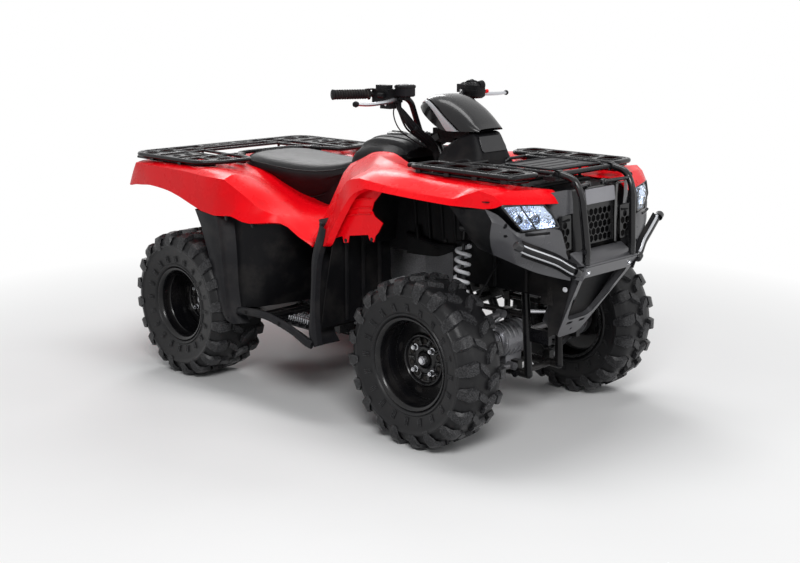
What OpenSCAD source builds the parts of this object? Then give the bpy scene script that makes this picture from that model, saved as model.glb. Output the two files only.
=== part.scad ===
// Utility quad bike: four-wheel drive, steered front wheels, one rear axle.
// +X forward, +Y left, +Z up, millimetres. The origin is on the ground, midway between the axles.

/* [Chassis] */
// Distance between the front and rear axles
wheelbase = 1267; // [1056:1:1520]
// Height of the lower frame rails above the ground
rail_z = 205; // [190:1:250]
// Radius of the frame tubes
frame_tube_r = 15; // [12:0.5:18]
// Height of the upper frame rails
spine_z = 670; // [650:1:690]
// Overhang of the bodywork past each axle
overhang = 456.5; // [430:0.5:480]

/* [Wheels] */
// Outer radius of all four tyres, lugs included
tyre_r = 300; // [250:1:360]
// Width of a front tyre
front_tyre_w = 200; // [170:1:210]
// Width of a rear tyre
rear_tyre_w = 250; // [210:1:260]
// Half of the front track, to the middle of a tyre
front_half_track = 448; // [440:1:500]
// Half of the rear track, to the middle of a tyre
rear_half_track = 473; // [440:1:500]
// Outer radius of the front rim's flange
front_rim_r = 164; // [150:1:170]
// Outer radius of the rear rim's flange
rear_rim_r = 151; // [140:1:165]

/* [Steering] */
// Lean of the steering column from upright, in degrees
rake = 27; // [22:1:30]
// Radius of the steering column
column_r = 16; // [12:0.5:18]
// Half of the distance between the kingpins
kingpin_y = 385; // [375:1:395]
// Radius of the handlebar tube
bar_r = 11; // [9:0.5:13]
// Radius of the grips
grip_r = 17; // [14:0.5:20]

/* [Seat and racks] */
// Height of the seat's crown above the ground
seat_top_z = 890; // [860:1:930]
// Height of the rear rack's top face
rear_rack_z = 885; // [870:1:930]
// Height of the front rack's top face
front_rack_z = 958; // [945:1:1000]
// Radius of the rack tubes
rack_tube_r = 9; // [7:0.5:10]

/* [Bodywork] */
// Thickness of the moulded panels
wall = 4; // [3:0.5:6]
// Half of the width over the front fenders
front_fender_y = 500; // [450:1:530]
// Half of the width over the rear fenders
rear_fender_y = 552; // [520:1:580]
// Bore of the tow hitch
hitch_bore_r = 8.5; // [6:0.1:10]

/* [Hidden] */

$fn = 48;
seat_gap = 0.3;             // clearance left between pieces that rest on each other
joint_bump = 0.6;           // how far a tube joint's ball stands out of its tubes
bar_bump = 0.05;            // the same on the handlebar, whose outer bends are slight
xf = wheelbase / 2;         // front axle
xr = -wheelbase / 2;        // rear axle
axle_z = tyre_r;            // wheel centres
nose_x = xf + overhang;     // front face of the lower guard
tail_x = xr - overhang;     // rear edge of the rear fender
frame_y = 120;              // half width of the frame, to its tube centres
frame_back = xr + 220;      // rear uprights of the frame
frame_front = xf + 175;     // front uprights of the frame
low_back = [frame_back, frame_y, rail_z];
low_front = [frame_front, frame_y - 30, rail_z];
top_front = [frame_front - 30, frame_y - 20, spine_z + 70];
top_back = [frame_back, frame_y, spine_z];
tail_end = [tail_x + 90, frame_y, spine_z + 90];
drive_seat_z = rail_z + 2;
muffler_hanger_z = spine_z + 42;
final_drive_r = 78;
rear_shock_low = [xr + 120, 0, axle_z + 9];
rear_shock_high = [xr + 175, 0, spine_z - 20];
pad_t = 17;                 // half height of the pads on the lower rails
floor_z = 318;              // top of the footrest floor
deck_z = 892;               // underside of the front fender's deck
pivot = [xf - 63.5, 0, 400];                       // lower end of the steering axis
steer_dir = [-sin(rake), 0, cos(rake)];            // steering axis, upward
steer_fwd = [cos(rake), 0, sin(rake)];             // square to it, forward
cable_r = 4;                // bundled cables, from the levers down to the column
bar_along = 690;            // steering pivot to the handlebar
bar_clamp = pivot + bar_along * steer_dir;               // where the handlebar is clamped
kingpin_low_z = axle_z - 62;
kingpin_high_z = axle_z + 62;
upper_bearing = 330;        // bearing blocks, along the steering axis
lower_bearing = 30;
strut_y = 104;
lower_arm_z = rail_z + 29;  // inner pivots of the front arms
upper_arm_z = rail_z + 220;
upper_tip_z = kingpin_high_z + seat_gap + 13;   // outer ball joint of an upper arm
drive_z = rail_z + 87;      // middle of the front drive
lower_spread = 122;
upper_spread = 84;
lower_foot_y = 106;
upper_foot_y = 126;
arm_eye_r = 14;
pitman_r = 60;              // steering axis to the tie rod pins
steer_arm_r = 70;           // kingpin to the tie rod's outer eye
eye_top_z = axle_z + 44;    // top face of a tie rod's outer eye
open_eye_gap = 4;           // clearance of the pivot that is left open
shock_low = [xf - 6, 262, (upper_arm_z + upper_tip_z) / 2 + 24.85];
shock_high = [xf - 15, 230, 735];
shock_eye_r = 14;
guard_top_y = 150;          // uprights of the brush guard, at the rack
guard_foot = [xf + 442, 132, 655];
shelf_z = guard_foot.z;     // top of the lower guard, which carries the brush guard and the grille
shock_tower_y = shock_high.y - shock_eye_r - seat_gap;
rim_disc_y = front_half_track - 6;      // middle of a front rim's disc
rear_disc_y = rear_half_track - 21;     // middle of a rear rim's disc
rim_inset = 18;             // how much narrower a rim is than its tyre, at each side
spindle_r = 15;
rear_axle_r = 17;
bearing_gap = 0.05;         // running clearance of the wheel bearings

tank_base_z = 858;
cap_x = 60;                 // fuel cap
cap_z = 1000;
cap_r = 42;
light_seat_x = tail_x + 38;
rear_leg_x = [tail_x + 160, xr - 100];  // legs and cross bars of the rear rack
rear_leg_y = 216;
seat_lug_x = xr + 44;         // lugs of the rear fender that the seat rests on
seat_lug_z = 848;
fender_boss_x = -250;       // where the rear fender sits on the upper rails
fender_boss_z = 699;
rack_foot_z = 843;          // top of the rear fender's pads, under the rack's legs
pod_z = 1048;               // flat under the pod, on the steering column's post
lamp_y = 225;               // inner end of the headlights

red = [0.86, 0.02, 0.03];
black = [0.05, 0.05, 0.055];
grey = [0.16, 0.16, 0.17];
steel = [0.55, 0.56, 0.58];
dark_steel = [0.09, 0.09, 0.1];

// ---- helpers ----

// value of a list at a held index
function held(list, i) = list[max(0, min(len(list) - 1, i))];

// smooth curve through four neighbours, at f from the second to the third
function curve4(a, b, c, d, f) =
    0.5 * (2 * b + (c - a) * f + (2 * a - 5 * b + 4 * c - d) * f * f
    + (3 * b - a - 3 * c + d) * f * f * f);

// the points of a list, with n steps between each pair
function smooth(list, n) = [for (k = [0:n * (len(list) - 1)])
    let (i = min(floor(k / n), len(list) - 2), f = k / n - i)
    curve4(held(list, i - 1), list[i], list[i + 1], held(list, i + 2), f)];

// a grid of rows, smoothed along and across
function smooth_grid(rows, n, m) = smooth([for (row = rows) smooth(row, m)], n);

// the point at x on the line through a and b
function on_line(a, b, x) = a + (b - a) * (x - a.x) / (b.x - a.x);

function unit(v) = v / max(norm(v), 0.0001);

// normal of the grid at row i, column j
function grid_normal(g, i, j) =
    unit(cross(held(g, i + 1)[j] - held(g, i - 1)[j], held(g[i], j + 1) - held(g[i], j - 1)));

// a thin moulding over a grid of points, thickened by t on the side away from its normals
module panel(rows, t = wall, n = 3, m = 3) {
    g = smooth_grid(rows, n, m);
    nr = len(g);
    nc = len(g[0]);
    back = nr * nc;
    skin = [for (i = [0:nr - 1], j = [0:nc - 1]) g[i][j]];
    lining = [for (i = [0:nr - 1], j = [0:nc - 1]) g[i][j] - t * grid_normal(g, i, j)];
    quads = [for (i = [0:nr - 2], j = [0:nc - 2])
        let (a = i * nc + j, b = a + 1, c = a + nc + 1, d = a + nc) [a, b, c, d]];
    rim = concat([for (j = [0:nc - 1]) j], [for (i = [1:nr - 1]) i * nc + nc - 1],
        [for (j = [1:nc - 1]) (nr - 1) * nc + nc - 1 - j], [for (i = [1:nr - 2]) (nr - 1 - i) * nc]);
    tris = concat(
        [for (q = quads) [q[0], q[1], q[2]]], [for (q = quads) [q[0], q[2], q[3]]],
        [for (q = quads) [q[2] + back, q[1] + back, q[0] + back]],
        [for (q = quads) [q[3] + back, q[2] + back, q[0] + back]],
        [for (k = [0:len(rim) - 1]) let (a = rim[k], b = rim[(k + 1) % len(rim)]) [b, a, a + back]],
        [for (k = [0:len(rim) - 1]) let (a = rim[k], b = rim[(k + 1) % len(rim)])
            [b, a + back, b + back]]);
    polyhedron(concat(skin, lining), tris, convexity = 8);
}

// a closed solid through rings of points, all with the same count
module skinned(rings) {
    count = len(rings[0]);
    last = len(rings) - 1;
    tris = concat(
        [[for (j = [0:count - 1]) count - 1 - j]],
        [for (i = [0:last - 1], j = [0:count - 1])
            [i * count + j, i * count + (j + 1) % count, (i + 1) * count + (j + 1) % count]],
        [for (i = [0:last - 1], j = [0:count - 1])
            [i * count + j, (i + 1) * count + (j + 1) % count, (i + 1) * count + j]],
        [[for (j = [0:count - 1]) last * count + j]]);
    polyhedron([for (ring = rings, point = ring) point], tris, convexity = 8);
}

// a rounded box ring across the machine at x: half width w, from z0 to z1
function body_ring(x, w, z0, z1, p = 0.55, count = 24) = [for (k = [0:count - 1])
    let (a = 360 * k / count, c = cos(a), s = sin(a))
    [x, w * sign(c) * pow(abs(c), p), (z0 + z1) / 2 + (z1 - z0) / 2 * sign(s) * pow(abs(s), p)]];

module rod(a, b, r, fn = 24) {
    d = b - a;
    turn = atan2(d.y, d.x);
    tilt = acos(d.z / norm(d));
    translate(a) rotate([0, tilt, turn]) cylinder(h = norm(d), r = r, $fn = fn);
}

// straight tubes through a list of points, with a ball at each bend
module pipe(points, r, fn = 24, bump = joint_bump) {
    for (i = [0:len(points) - 2]) rod(points[i], points[i + 1], r, fn);
    if (len(points) > 2) {
        for (i = [1:len(points) - 2]) translate(points[i]) sphere(r = r + bump, $fn = fn);
    }
}

module both_sides() {
    children();
    mirror([0, 1, 0]) children();
}

// children drawn in the steering axis's own frame: z along it, origin at the pivot
module on_steering_axis(along = 0) {
    translate(pivot + along * steer_dir) rotate([0, -rake, 0]) children();
}

// a box from its corner to its opposite corner
module span(a, b) {
    translate(a) cube(b - a);
}

// ---- chassis ----

module frame() {
    color(black) difference() {
        union() {
            both_sides() {
                side_loop();
                column_struts();
                fender_posts();
                tank_posts();
                rail_pads();
                arm_brackets();
                footrest_outriggers();
            }
            for (x = [frame_back + 40, xr + 600, frame_front - 40])
                rod([x, -frame_y, rail_z], [x, frame_y, rail_z], frame_tube_r - 3);
            cross_tube(on_line(top_back, tail_end, tail_x + 120), frame_tube_r - 3);
            cross_tube(on_line(top_back, tail_end, rear_shock_high.x), 12);
            cross_tube([shock_high.x, shock_tower_y, shock_high.z], 12);
            span([xf - 45, -95, rail_z - 8], [xf + 45, 95, drive_seat_z]);
            span([xr - 115, -205, muffler_hanger_z], [xr - 85, -112, muffler_hanger_z + 6]);
            head_bracket(upper_bearing, on_line(top_back, top_front, xf - 225).y);
            head_bracket(lower_bearing, strut_y);
        }
        on_steering_axis(-60) cylinder(h = 560, r = column_r + seat_gap);
    }
}

// a tube straight across the machine, ending at a point and at its mirror image
module cross_tube(end, r) {
    rod([end.x, -end.y, end.z], end, r);
}

// one side of the cradle: lower rail, front upright, upper rail, rear upright and the tail tube
module side_loop() {
    corners = [low_back, low_front, top_front, top_back];
    for (i = [0:3]) {
        rod(corners[i], corners[(i + 1) % 4], frame_tube_r);
        translate(corners[i]) sphere(r = frame_tube_r + joint_bump, $fn = 24);
    }
    rod(top_back, tail_end, frame_tube_r - 2);
    rod(on_line(low_back, low_front, xr + 760), on_line(top_back, top_front, xr + 740),
        frame_tube_r - 3);
}

// bearing block for the steering column, with a bar across to the rails or the struts
module head_bracket(along, bar_end_y) {
    on_steering_axis(along) translate([-34, -34, 0]) cube([68, 68, 46]);
    centre = pivot + (along + 23) * steer_dir;
    rod([centre.x, -bar_end_y, centre.z], [centre.x, bar_end_y, centre.z], 10);
}

// struts from the lower rails, past the lower bearing block, to the upper rails,
// and the rail ahead of them that the upper arms hang on
module column_struts() {
    middle = pivot + (lower_bearing + 23) * steer_dir + [0, strut_y, 0];
    pipe([[middle.x, strut_y, rail_z], middle, on_line(top_back, top_front, xf - 225)], 12);
    rod([middle.x - 4, strut_y, upper_arm_z], [frame_front - 12, strut_y - 10, upper_arm_z], 11);
}

module fender_posts() {
    for (x = [xf - 130, xf + 130]) {
        foot = on_line(top_back, top_front, x);
        rod(foot, [foot.x, foot.y, deck_z - seat_gap], 10);
    }
}

// posts on the upper rails that carry the tank cover and the rear fender
module tank_posts() {
    foot = on_line(top_back, top_front, 30);
    rod(foot, [foot.x, foot.y, tank_base_z], 9);
    back = on_line(top_back, top_front, fender_boss_x);
    rod(back, [back.x, back.y, fender_boss_z], 10);
}

module rail_pads() {
    for (x = [xr + 320, xf - 320])
        span([x - 30, frame_y - 32, rail_z - pad_t], [x + 30, frame_y + 12, rail_z + pad_t]);
}

// pivots of the front arms, and the plates that carry the lower guard
module arm_brackets() {
    for (x = [xf - lower_spread, xf + lower_spread])
        span([x - 16, frame_y - 40, rail_z - 5], [x + 16, lower_foot_y, lower_arm_z + 17]);
    for (x = [xf - upper_spread, xf + upper_spread])
        span([x - 16, strut_y - 14, upper_arm_z - 17], [x + 16, upper_foot_y, upper_arm_z + 17]);
    span([frame_front - 20, 72, 330], [xf + 262, 92, 380]);
}

module footrest_outriggers() {
    for (x = [-190, 70]) {
        rod([x, frame_y, rail_z], [x, 320, floor_z - 40], 11);
        span([x - 18, 270, floor_z - 50], [x + 18, 345, floor_z - wall]);
    }
}

module engine() {
    color(grey) span([xr + 320, -frame_y + 27, rail_z + pad_t], [xf - 330, frame_y - 27, 610]);
}

module skid_plate() {
    color(black) hull() both_sides()
        span([xr + 285, 0, rail_z - pad_t - 5], [xf - 285, frame_y + 10, rail_z - pad_t]);
}

// ---- bodywork ----

// right half of the front fender, from the strip over the headlight back to the seat
front_fender_rows = [
    [[xf + 368, 200, 850], [xf + 352, 280, 851], [xf + 330, 350, 852], [xf + 310, 410, 850]],
    [[xf + 340, 200, 896], [xf + 325, 290, 902], [xf + 300, 360, 905], [xf + 285, 425, 872]],
    [[xf + 170, 200, 896], [xf + 165, 300, 918], [xf + 155, 410, 914], [xf + 115, 460, 864]],
    [[xf - 10, 200, 896], [xf - 15, 300, 928], [xf - 20, 430, 920], [xf, front_fender_y, 868]],
    [[xf - 180, 200, 896], [xf - 190, 300, 930], [xf - 215, 435, 924], [xf - 190, front_fender_y, 880]],
    [[xf - 320, 185, 915], [xf - 325, 270, 936], [xf - 310, 400, 925], [xf - 280, front_fender_y, 885]],
    [[200, 165, 955], [200, 245, 955], [215, 370, 885], [255, 487, 780]],
    [[80, 150, 950], [85, 215, 935], [110, 335, 810], [165, 467, 660]],
    [[-25, 150, 895], [-20, 195, 870], [0, 310, 720], [40, 420, 640]]];

module front_fender() {
    color(red) {
        both_sides() mirror([0, 1, 0]) panel(front_fender_rows);
        span([xf - 150, -205, deck_z], [xf + 345, 205, deck_z + wall]);
    }
}

// right half of the rear fender, from the tail forward to the point below the seat
rear_fender_rows = [
    [[tail_x + 24, 0, 742], [tail_x + 18, 250, 740], [tail_x + 8, 420, 737], [tail_x + 18, 500, 735]],
    [[tail_x + 42, 0, 828], [tail_x + 38, 250, 832], [tail_x + 36, 425, 834], [tail_x + 50, 505, 752]],
    [[xr - 290, 0, 826], [xr - 290, 250, 836], [xr - 290, 455, 837], [xr - 290, 528, 748]],
    [[xr - 110, 0, 826], [xr - 110, 250, 838], [xr - 105, 485, 838], [xr - 125, 547, 738]],
    [[xr + 60, 0, 826], [xr + 60, 250, 832], [xr + 85, 500, 832], [xr + 50, rear_fender_y, 712]],
    [[xr + 190, 0, 780], [xr + 190, 230, 790], [xr + 200, 450, 800], [xr + 205, 545, 692]],
    [[xr + 300, 0, 738], [xr + 300, 200, 738], [xr + 310, 380, 735], [xr + 335, 490, 676]],
    [[-200, 0, 706], [-200, 180, 703], [-185, 320, 690], [-165, 440, 645]],
    [[-40, 0, 722], [-40, 150, 718], [-25, 290, 672], [-5, 400, 600]]];

module rear_fender() {
    color(red) difference() {
        union() {
            panel([for (row = rear_fender_rows) concat([for (k = [3:-1:1])
                [row[k].x, -row[k].y, row[k].z]], row)]);
            both_sides() {
                for (x = rear_leg_x)
                    span([x - 14, rear_leg_y - 14, 830], [x + 14, rear_leg_y + 14, rack_foot_z]);
                span([seat_lug_x - 20, 46, 824], [seat_lug_x + 20, 90, seat_lug_z]);
                span([fender_boss_x - 18, 94, fender_boss_z], [fender_boss_x + 18, 134, 711]);
            }
            span([light_seat_x, -80, 760], [light_seat_x + wall, 80, 828]);
        }
        span([tail_x - 10, -72, 766], [light_seat_x, 72, 814]);
    }
}

module tank_cover() {
    color(black) difference() {
        skinned([
            body_ring(-85, 118, 820, 945),
            body_ring(-40, 128, 800, 985),
            body_ring(40, 140, 800, 1005),
            body_ring(140, 150, 800, 1000),
            body_ring(212, 150, 800, 968)]);
        span([-100, -200, 790], [230, 200, tank_base_z]);
        translate([cap_x, 0, cap_z]) cylinder(h = 40, r = cap_r + 2);
    }
}

module nose_cowl() {
    color(black) difference() {
        skinned([
            body_ring(xf - 265, 118, deck_z - 40, 985),
            body_ring(xf - 210, 125, deck_z - 40, 1014),
            body_ring(xf - 155, 118, deck_z - 40, 1036),
            body_ring(xf - 105, 108, deck_z - 40, 1044),
            body_ring(xf - 65, 110, deck_z - 40, 956)]);
        span([xf - 300, -200, deck_z - 60], [xf + 50, 200, deck_z + wall]);
        on_steering_axis(400) cylinder(h = 400, r = column_r + 30);
    }
}

module fuel_cap() {
    color(black) translate([cap_x, 0, cap_z]) cylinder(h = 26, r = cap_r);
}

module seat() {
    color(black) difference() {
        skinned([
            body_ring(xr - 102, 118, 846, 866),
            body_ring(xr - 66, 160, 845, seat_top_z - 14),
            body_ring(xr - 6, 182, 844, seat_top_z - 5),
            body_ring(xr + 74, 190, 842, seat_top_z),
            body_ring(xr + 194, 188, 802, seat_top_z),
            body_ring(xr + 301, 180, 750, seat_top_z - 4),
            body_ring(-220, 165, 715, seat_top_z - 5),
            body_ring(-140, 140, 760, seat_top_z + 5),
            body_ring(-92, 115, 800, seat_top_z + 12)]);
        span([seat_lug_x - 30, -100, 800], [seat_lug_x + 30, 100, seat_lug_z + seat_gap]);
    }
}

// ---- racks and guards ----

// a closed loop of tubes at one height
module tube_loop(corners, z, r) {
    count = len(corners);
    for (i = [0:count - 1]) {
        a = corners[i];
        b = corners[(i + 1) % count];
        rod([a.x, a.y, z], [b.x, b.y, z], r);
        translate([a.x, a.y, z]) sphere(r = r + joint_bump, $fn = 24);
    }
}

module front_rack() {
    z = front_rack_z - rack_tube_r;
    back = xf - 172;
    front = xf + 330;
    inner = xf - 60;
    color(black) {
        both_sides() {
            tube_loop([[back, 215], [back, 345], [xf + 282, 345], [xf + 300, 215]], z, rack_tube_r);
            rod([inner, 340, z], [inner, 150, z], rack_tube_r - 2);
            rod([inner, 150, z], [front, 150, z], rack_tube_r - 1);
            translate([inner, 150, z]) sphere(r = rack_tube_r, $fn = 24);
            for (x = [inner, xf + 180])
                rod([x, 172, deck_z + wall], [x, 172, z], 6);
        }
        rod([front, -guard_top_y - 15, z], [front, guard_top_y + 15, z], rack_tube_r);
        for (x = [xf + 60, xf + 180]) rod([x, -340, z], [x, 340, z], rack_tube_r - 2);
        span([xf + 80, -145, z - 2], [xf + 300, 145, front_rack_z + 1]);
    }
}

module rear_rack() {
    z = rear_rack_z - rack_tube_r;
    back = tail_x + 14;
    half = [[back, 430], [back + 46, 480], [xr + 30, 480], [xr + 88, 380], [xr + 88, 250],
        [xr - 66, 200], [xr - 128, 140]];
    color(black) {
        tube_loop(concat(half, [for (k = [len(half) - 1:-1:0]) [half[k].x, -half[k].y]]), z,
            rack_tube_r);
        both_sides() {
            rod([back, 300, z], [xr + 88, 300, z], rack_tube_r - 2);
            rod([rear_leg_x[1], 190, z], [rear_leg_x[1], 480, z], rack_tube_r - 3);
            for (x = rear_leg_x) rod([x, rear_leg_y, rack_foot_z], [x, rear_leg_y, z], 5);
            difference() {
                span([xr - 240, 300, z], [xr - 160, 480, z + 3]);
                for (y = [360, 420]) translate([xr - 200, y, z - 1]) cylinder(h = 6, r = 14);
            }
        }
        rod([rear_leg_x[0], -480, z], [rear_leg_x[0], 480, z], rack_tube_r - 3);
    }
}

module brush_guard() {
    z = front_rack_z - rack_tube_r;
    color(black) both_sides()
        pipe([[xf + 330 + rack_tube_r + seat_gap, guard_top_y, z], [xf + 395, guard_top_y, z - 12],
            [xf + 424, guard_top_y - 4, 885], guard_foot + [0, 0, 50], guard_foot], 12);
}

module lower_guard() {
    color(dark_steel) {
        both_sides() hull() {
            span([nose_x - 40, 132, shelf_z - 35], [nose_x, 150, shelf_z]);
            span([xf + 262, 62, 340], [xf + 282, 78, 385]);
        }
        span([nose_x - 32, -145, shelf_z - 30], [nose_x, 145, shelf_z]);
        span([xf + 366, -183, shelf_z - 4], [nose_x - 20, 183, shelf_z]);
        span([xf + 264, -70, 350], [xf + 270, 70, 380]);
    }
}

module grille() {
    color(black) difference() {
        span([xf + 380, -160, shelf_z], [xf + 392, 160, deck_z - 8]);
        for (i = [-4:4], k = [0:3])
            translate([xf + 375, i * 26 + (k % 2) * 13, 725 + k * 26]) rotate([0, 90, 0])
                cylinder(h = 30, r = 10.5, $fn = 6);
    }
}

module headlights() {
    bracket_x = xf + 240;
    color([0.85, 0.9, 0.97]) both_sides() {
        hull() {
            span([xf + 235, lamp_y + 25, 790], [xf + 245, 395, 842]);
            span([xf + 300, 395, 835], [xf + 305, 412, 845]);
            span([xf + 345, 262, 838], [xf + 350, 270, 845]);
            span([xf + 383, lamp_y, 785], [xf + 388, lamp_y + 8, 792]);
            span([xf + 330, 338, 780], [xf + 335, 345, 786]);
        }
        span([bracket_x, 190, 836], [bracket_x + 22, 275, 842]);
        span([bracket_x, 190, 836], [bracket_x + 22, 202, deck_z]);
    }
}

module front_cowls() {
    color(grey) both_sides() {
        mirror([0, 1, 0]) panel([
            [[xf + 117, 455, 852], [xf + 150, 420, 788], [xf + 170, 370, 712]],
            [[xf + 250, 430, 840], [xf + 250, 418, 770], [xf + 232, 370, 700]],
            [[xf + 322, 362, 768], [xf + 333, 352, 735], [xf + 316, 345, 668]],
            [[xf + 375, 290, 745], [xf + 378, 280, 700], [xf + 365, 265, 628]],
            [[xf + 395, 190, 722], [xf + 400, 190, 660], [xf + 385, 165, 592]]]);
        span([xf + 374, 165, shelf_z], [xf + 402, 198, shelf_z + 6]);
    }
}

module bumper_bars() {
    color(steel) both_sides()
        pipe([[xf + 376, 408, 742], [xf + 412, 262, 682], [xf + 436, 185, 634],
            [xf + 436, 150 + seat_gap, 634]], 12);
}

module splash_shields() {
    color(black) both_sides() {
        mirror([0, 1, 0]) panel([
            [[300, 190, 870], [290, 185, 740], [290, 180, 600]],
            [[400, 175, 870], [400, 165, 740], [400, 160, 600]],
            [[520, 160, 870], [520, 158, 740], [520, 155, 640]]]);
        rail = on_line(top_back, top_front, 455);
        span([440, rail.y + frame_tube_r + seat_gap, rail.z - 7], [470, 172, rail.z + 7]);
    }
}

// ---- footwells ----

mudguard_foot_x = xr + sqrt(pow(tyre_r + 40, 2) - pow(floor_z - axle_z, 2)) - 20;
floor_back = mudguard_foot_x + 74;     // rear edge of the foot boards

function rear_arc(angle, gap) =
    [xr + (tyre_r + gap) * cos(angle), axle_z + (tyre_r + gap) * sin(angle)];

module mudguards() {
    arc = [rear_arc(72, 115), rear_arc(58, 62), rear_arc(38, 22), rear_arc(18, 20),
        rear_arc(2, 40), rear_arc(-5, 58)];
    color(grey) both_sides() {
        mirror([0, 1, 0]) panel([for (y = [250, 400, 560]) [for (p = arc) [p.x, y, p.y]]]);
        span([mudguard_foot_x, 265, floor_z], [floor_back + 25, 325, floor_z + wall]);
        mirror([0, 1, 0]) panel([for (k = [0:3]) let (z = 700 - k * 142)
            [for (y = [250, 380, 470 + 28 * k]) [214 - 16 * k, y, z]]]);
        span([115, 265, floor_z], [178, 325, floor_z + wall]);
    }
}

module footrests() {
    color(grey) both_sides() {
        span([floor_back, 250, floor_z - wall], [140, 545, floor_z]);
        for (x = [floor_back + 40, 100]) rod([x, 520, floor_z - 2], [x, 556, floor_z + 12], 5);
        pipe([[floor_back, 556, 335], [-90, 560, 348], [60, 562, 322], [158, 564, 285]], 10);
    }
}

module side_covers() {
    low = on_line(low_back, low_front, xr + 760);
    high = on_line(top_back, top_front, xr + 740);
    upright = low + (high - low) * (450 - low.z) / (high.z - low.z);
    color(black) both_sides() {
        mirror([0, 1, 0]) panel([
            [[-300, 200, 640], [-300, 215, 450], [-290, 225, 330]],
            [[-80, 195, 640], [-80, 215, 450], [-80, 225, 330]],
            [[190, 190, 640], [190, 205, 450], [190, 215, 330]]]);
        span([upright.x - 15, upright.y + frame_tube_r - 3 + seat_gap, 440],
            [upright.x + 15, 212, 460]);
    }
}

// ---- steering ----

module steering_column() {
    color(black) {
        on_steering_axis(0) cylinder(h = bar_along - bar_r - seat_gap, r = column_r);
        on_steering_axis(-34) translate([-22, -36, 0]) cube([pitman_r + 36, 72, 10]);
        on_steering_axis(-30) cylinder(h = 40, r = column_r);
        rod([bar_x + 49, 0, 1012], [bar_x + 49, 0, pod_z - seat_gap], 13);
        on_steering_axis(655) translate([-20, -50, 0])
            cube([82, 100, bar_along - 655 - bar_r - seat_gap]);
    }
}

bar_x = bar_clamp.x;
bar_points = [[bar_x, 0, bar_clamp.z], [bar_x, 70, bar_clamp.z], [bar_x + 10, 145, 1165],
    [bar_x - 72, 235, 1180], [bar_x - 139, 385, 1181]];
grip_start = on_bar_end(0.18);
grip_end = on_bar_end(1.04);

// a point on the outer leg of the handlebar, f of the way along it
function on_bar_end(f) = bar_points[3] + f * (bar_points[4] - bar_points[3]);

module handlebar() {
    last = len(bar_points) - 1;
    color(dark_steel) {
        pipe(concat([for (k = [last:-1:1]) [bar_points[k].x, -bar_points[k].y, bar_points[k].z]],
            [for (k = [1:last]) bar_points[k]]), bar_r, bump = bar_bump);
        both_sides() rod(grip_start, grip_end, grip_r);
    }
}

module handlebar_pod() {
    color(black) difference() {
        skinned([
            body_ring(bar_x - 12, 70, 1080, 1150),
            body_ring(bar_x + 43, 95, 1045, 1170),
            body_ring(bar_x + 93, 108, 1052, 1177),
            body_ring(bar_x + 173, 100, 1060, 1150),
            body_ring(bar_x + 233, 88, 1062, 1108),
            body_ring(bar_x + 283, 72, 1053, 1068)]);
        span([bar_x - 57, -60, 1000], [bar_x + 143, 60, pod_z]);
    }
}

module controls() {
    color(dark_steel) difference() {
        union() {
            span([bar_x - 22, -215, 1165], [bar_x + 33, -165, 1212]);
            span([bar_x - 32, 180, 1150], [bar_x + 28, 235, 1195]);
            both_sides() {
                rod([bar_x + 5, 419, 1156], [bar_x - 7, 200, 1167], 6);
                pipe([[bar_x + 7, 192, 1172], [bar_x + 9, 190, 1110], [bar_x + 31, 150, 1050],
                    [bar_x + 51, 90, 1008], [bar_x + 48, 44, 962], [bar_x + 43, 38, 925]], cable_r);
            }
        }
        both_sides() rod(bar_points[2], bar_points[3], bar_r + seat_gap);
    }
}

// ---- front suspension and drive ----

// an A-shaped arm of two tubes, from eyes at y0, z0 out to a ball joint's pillar at z1
module a_arm(y0, z0, z1, spread, r) {
    tip = [xf, kingpin_y, z1];
    for (side = [-1, 1]) {
        foot = [xf + side * spread, y0 + arm_eye_r + seat_gap, z0];
        rod(foot, tip, r);
        rod(foot - [16, 0, 0], foot + [16, 0, 0], arm_eye_r);
    }
    translate([xf, kingpin_y, z1 - 13]) cylinder(h = 26, r = 15);
}

module front_arms() {
    low_tip = kingpin_low_z - seat_gap - 13;
    cross_z = shock_low.z - shock_eye_r - seat_gap - 9;
    color(black) both_sides() {
        union() {
            a_arm(lower_foot_y, lower_arm_z, low_tip, lower_spread, 11);
            rod([xf - 64, 240, (lower_arm_z + low_tip) / 2], [xf + 64, 240, (lower_arm_z + low_tip) / 2],
                8);
        }
        union() {
            a_arm(upper_foot_y, upper_arm_z, upper_tip_z, upper_spread, 10);
            rod([xf - 42, shock_low.y, cross_z], [xf + 42, shock_low.y, cross_z], 9);
        }
    }
}

// a coil-over shock: eyes across it at both ends, a body, a rod and the coils as rings
module shock(low, high, eye_axis, coils, coil_r) {
    d = unit(high - low);
    span_l = norm(high - low);
    rod(low, high, 9);
    for (end = [low, high]) rod(end - 14 * eye_axis, end + 14 * eye_axis, shock_eye_r);
    rod(low + 22 * d, low + 0.42 * span_l * d, 20);
    for (k = [0:coils - 1]) {
        from = low + (0.2 + 0.72 * k / coils) * span_l * d;
        rod(from, from + 9 * d, coil_r);
    }
}

module front_shocks() {
    color(steel) both_sides() union() shock(shock_low, shock_high, [1, 0, 0], 9, 32);
}

// left knuckle: upright, spindle, brake drum and the arm that the tie rod pulls
module knuckle() {
    arm_z = eye_top_z + open_eye_gap;
    color(dark_steel) union() {
        span([xf - 18, kingpin_y - 19, kingpin_low_z], [xf + 18, kingpin_y + 20, kingpin_high_z]);
        translate([xf, kingpin_y, axle_z]) rotate([-90, 0, 0])
            cylinder(h = rim_disc_y + 21 - kingpin_y, r = spindle_r);
        translate([xf, kingpin_y + 17, axle_z]) rotate([-90, 0, 0]) cylinder(h = 26, r = 76);
        span([xf, kingpin_y - 12, arm_z], [xf + steer_arm_r, kingpin_y + 12, arm_z + 12]);
        translate([xf + steer_arm_r, kingpin_y, arm_z]) cylinder(h = 12, r = 12);
    }
}

module knuckle_left() { knuckle(); }
module knuckle_right() { mirror([0, 1, 0]) knuckle(); }

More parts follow.
